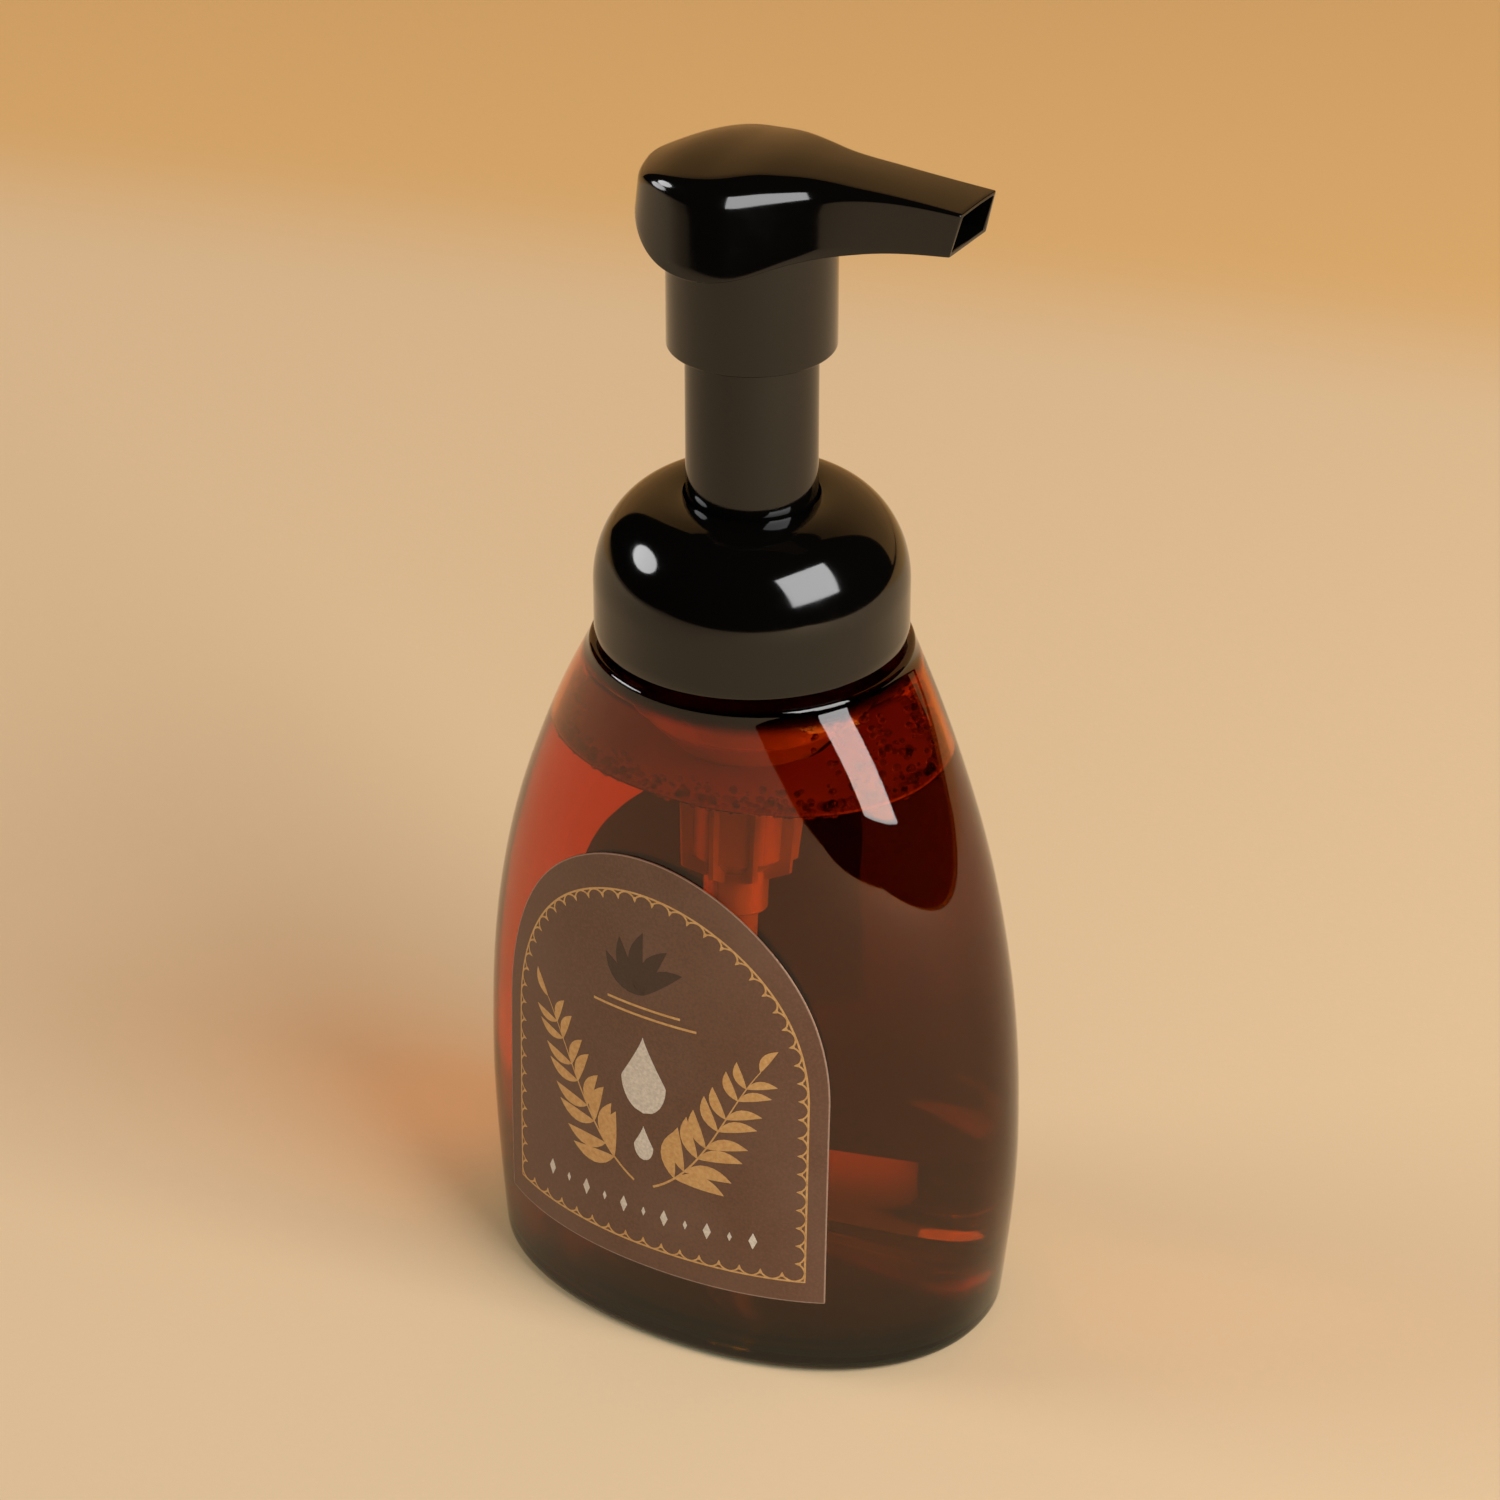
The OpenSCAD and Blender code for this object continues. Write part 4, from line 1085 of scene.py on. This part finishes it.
# ---------------- soap and foam
SOAP_LEVEL = SHOULDER - 14.9


def make_soap():
    """The soap up to its level, just into the bottle's wall so that no air lies between."""
    into, floor = WALL - INTO_WALL, BASE_T - INTO_WALL
    inside = oval(0, into + HEEL, HEEL)
    rings = [shrunk(inside, CENTRE, PUSH_UP + floor)]
    rings += [shrunk(inside, 0.985 * s, floor + hollow_height(s))
              for s in (0.15, 0.3, 0.42, 0.475, 0.525, 0.575, 0.65, 0.725, 0.8, 0.875, 0.925)]
    rings += floor_rings(into, floor, range(6, -1, -1))
    rings += wall_rings(LOW_IN, SOAP_LEVEL, into, 80, 1)
    rings += [oval(SOAP_LEVEL - 0.25, into + 0.8, SOAP_LEVEL),
              oval(SOAP_LEVEL - 0.4, into + 2.2, SOAP_LEVEL)]
    rings.append(shrunk(rings[-1], 0.01, SOAP_LEVEL - 0.4))
    piece("soap_fill", skin(rings), soap_clear, "bottle", sharp=60)


def bubble(at, radius):
    """A small round bubble, with its poles cut flat."""
    return skin([[(at[0] + x, at[1] + y, z)
                  for x, y, z in round_ring(radius * sin(a), at[2] - radius * cos(a), 12)]
                 for a in (pi * (0.04 + 0.92 * j / 7) for j in range(8))])


def make_foam():
    """A thin raft on the soap, bubbles in a chain along its edge, and strays on the wall."""
    chance = random.Random(7)
    bubbles = []

    def add(turn, above, radius, gap=0.0):
        z = SOAP_LEVEL + above
        spot = on_oval(smooth_row(FORM, z), WALL + 0.05 + radius + gap, turn)
        bubbles.append(bubble((*spot, z), radius))

    def sheet(above):
        z = SOAP_LEVEL + above
        edge = oval(z, WALL + 0.12, z)
        return [shrunk(edge, k + (1 - k) * 0.42, z) for k in (1.0, 0.75, 0.5, 0.25, 0.0)]

    piece("foam_raft", skin(sheet(0.35) + sheet(0.05)[::-1], loop=True), foam, "bottle",
          sharp=40)
    turn = 0.0
    while turn < TURN:
        radius = chance.choice((0.3, 0.4, 0.5, 0.6, 0.8))
        add(turn, chance.uniform(-0.1, 0.5), radius)
        if chance.random() < 0.55:
            add(turn + 0.01, chance.uniform(0.9, 1.9), chance.uniform(0.3, 0.7))
        if chance.random() < 0.35:
            add(turn, chance.uniform(-0.2, 0.6), chance.uniform(0.4, 0.9), 2.0 * radius)
        turn += (1.75 * radius + 0.12) / 28.0
    # Strays between two turns, how many of them, and how high they spread
    for low, high, count, tall in ((-0.75, 0.5, 190, 11.0), (-3.1, -2.3, 110, 5.5),
                                   (-2.3, -0.8, 70, 3.0), (0.5, 3.0, 50, 4.0)):
        for _ in range(count):
            above = 0.8 + tall * chance.random() ** 1.4
            add(chance.uniform(low, high), above, chance.uniform(0.2, 0.65))
    piece("foam_bubbles", merge(bubbles), bubble_clear, "bottle", sharp=80)


make_soap()
make_foam()


# ---------------- floor, backdrop, light, camera
TAN = (0.80, 0.485, 0.19)


def paper(name, near, far=None, line=None, far_painted_light=None):
    """Matt studio paper; its colour may change along a soft line, and lighten further back as
    painted light.
    """
    made, tree, shader = blank(name)
    place = place_in(tree)
    fibre, cloud = noise(tree, place, 900.0, 3.0), noise(tree, place, 4.0, 2.0)
    shade = tint(tree, cloud, toned(near, 0.97), toned(near, 1.03))
    if far:
        axes = node(tree, "SeparateXYZ", {0: place}).outputs
        (px, py), (nx, ny), soft = line
        across = math_node(tree, "ADD", math_node(tree, "MULTIPLY", axes[0], nx),
                           math_node(tree, "MULTIPLY", axes[1], ny))
        # Painted light: the paper lightens from 0.12 m in front of the bottle to 0.30 m behind it.
        shade = tint(tree, spread(tree, across, -0.12, 0.30), shade, far_painted_light)
        start = px * nx + py * ny
        step = spread(tree, across, start - soft, start + soft, interpolation_type="SMOOTHSTEP")
        shade = tint(tree, step, shade, far)
    feed(tree, shader, {"Base Color": shade}, Roughness=0.9, Specular_IOR_Level=0.2)
    raise_surface(tree, shader, fibre, 0.0002, 0.15)
    return made


CAMERA_TURN = radians(30.7)
CAMERA_RISE = radians(29.74)
CAMERA_FAR = 0.6458
AIM = Vector((0.0, 0.0, 0.08443))
ahead = Vector((-sin(CAMERA_TURN), cos(CAMERA_TURN), 0))
aside = Vector((cos(CAMERA_TURN), sin(CAMERA_TURN), 0))
eye = AIM - ahead * CAMERA_FAR * cos(CAMERA_RISE)
eye.z += CAMERA_FAR * sin(CAMERA_RISE)

# Where the pale paper ends and the tan one begins, behind the bottle
under_eye = Vector((eye.x, eye.y, 0))
left_end = under_eye + ahead * 0.965 - aside * 0.17
right_end = under_eye + ahead * 0.875 + aside * 0.155
seam = (right_end - left_end).normalized()
# The pale paper's last colour is painted light, lighter further back.
floor_paper = paper("pale_paper", (0.70, 0.52, 0.32), TAN,
                    ((left_end.x, left_end.y), (-seam.y, seam.x), 0.04), (0.80, 0.575, 0.34))
wall_paper = paper("tan_paper", TAN)


def make_floor():
    """The floor, from in front of the bottle to under the backdrop, in metres."""
    front, back, left, right = -0.93, 1.5, -1.9, 0.7
    corners = [ahead * a + aside * b for a, b in
               ((front, left), (front, right), (back, right), (back, left))]
    count = 24

    def spot(j, i):
        s, t = i / count, j / count
        p = (corners[0] * (1 - s) + corners[1] * s) * (1 - t) \
            + (corners[3] * (1 - s) + corners[2] * s) * t
        return p.x / MM, p.y / MM, 0

    piece("studio_floor", grid(count, count, spot), floor_paper, None)


def make_backdrop():
    """A tall sheet far behind, curved round from compass -66 to 27, in metres."""
    radius, height, foot_bend = 1.5, 2.4, 0.25
    rows, bend_rows, columns = 24, 10, 40

    def spot(j, i):
        if j <= bend_rows:
            a = QUARTER * j / bend_rows
            r, z = radius - foot_bend + foot_bend * sin(a), foot_bend * (1 - cos(a))
        else:
            share = (height - foot_bend) * (j - bend_rows) / (rows - bend_rows)
            r, z = radius, foot_bend + share
        compass = radians(-66 + 93 * i / columns)
        return r * sin(compass) / MM, r * cos(compass) / MM, z / MM

    piece("studio_backdrop", grid(rows, columns, spot), wall_paper, None)


def softbox(name, compass, rise, wide, tall, shape, radiance, only=None):
    """An area light that faces the bottle from a compass bearing, degrees from +Y to +X;
    a small card lights only one piece."""
    data = bpy.data.lights.new(name, "AREA")
    data.shape = shape
    data.size, data.size_y = wide, tall
    area = wide * tall * (pi / 4 if shape == "ELLIPSE" else 1.0)
    data.energy = radiance * pi * area
    lamp = add_object(name, data)
    b, e = radians(compass), radians(rise)
    away = Vector((sin(b) * cos(e), cos(b) * cos(e), sin(e)))
    lamp.location = Vector((0, 0, 0.1)) + away * 1.3
    lamp.rotation_mode = "QUATERNION"
    lamp.rotation_quaternion = away.to_track_quat("Z", "Y")
    if only:
        group = bpy.data.collections.new(name + "_lights")
        group.objects.link(only)
        lamp.light_linking.receiver_collection = group


def make_world():
    """A dim room in reflections, soft light on matt faces, and tan paper to the camera."""
    world = bpy.data.worlds.new("studio")
    bpy.context.scene.world = world
    world.use_nodes = True
    tree = world.node_tree
    path = node(tree, "LightPath").outputs
    seen = tint(tree, path["Is Camera Ray"], (0.003, 0.003, 0.003), TAN)
    lit = tint(tree, path["Is Diffuse Ray"], seen, (0.26, 0.25, 0.235))
    feed(tree, tree.nodes["Background"], {"Color": lit})


def make_camera():
    frame_side, focal, sensor = 1500, 4660.5, 36.0
    data = bpy.data.cameras.new("camera")
    data.sensor_width = sensor
    data.lens = focal * sensor / frame_side
    data.clip_start, data.clip_end = 0.01, 20.0
    data.shift_x = -2.0 / frame_side
    camera = add_object("camera", data)
    camera.location = eye
    camera.rotation_mode = "QUATERNION"
    camera.rotation_quaternion = (eye - AIM).to_track_quat("Z", "Y")
    bpy.context.scene.camera = camera


make_floor()
make_backdrop()
softbox("left_softbox", -112, 25, 0.62, 0.42, "ELLIPSE", 9.0)
softbox("right_softbox", 101, 33, 0.88, 0.80, "RECTANGLE", 9.0)
softbox("low_card", 98, 9, 0.50, 0.29, "RECTANGLE", 7.6, bottle_shell)
softbox("front_card", 166, 20, 0.50, 0.50, "RECTANGLE", 7.0, head_shell)
softbox("left_card", -108, 8, 0.70, 0.34, "ELLIPSE", 6.0, head_shell)
make_world()
make_camera()
bpy.context.scene.view_settings.view_transform = "Standard"
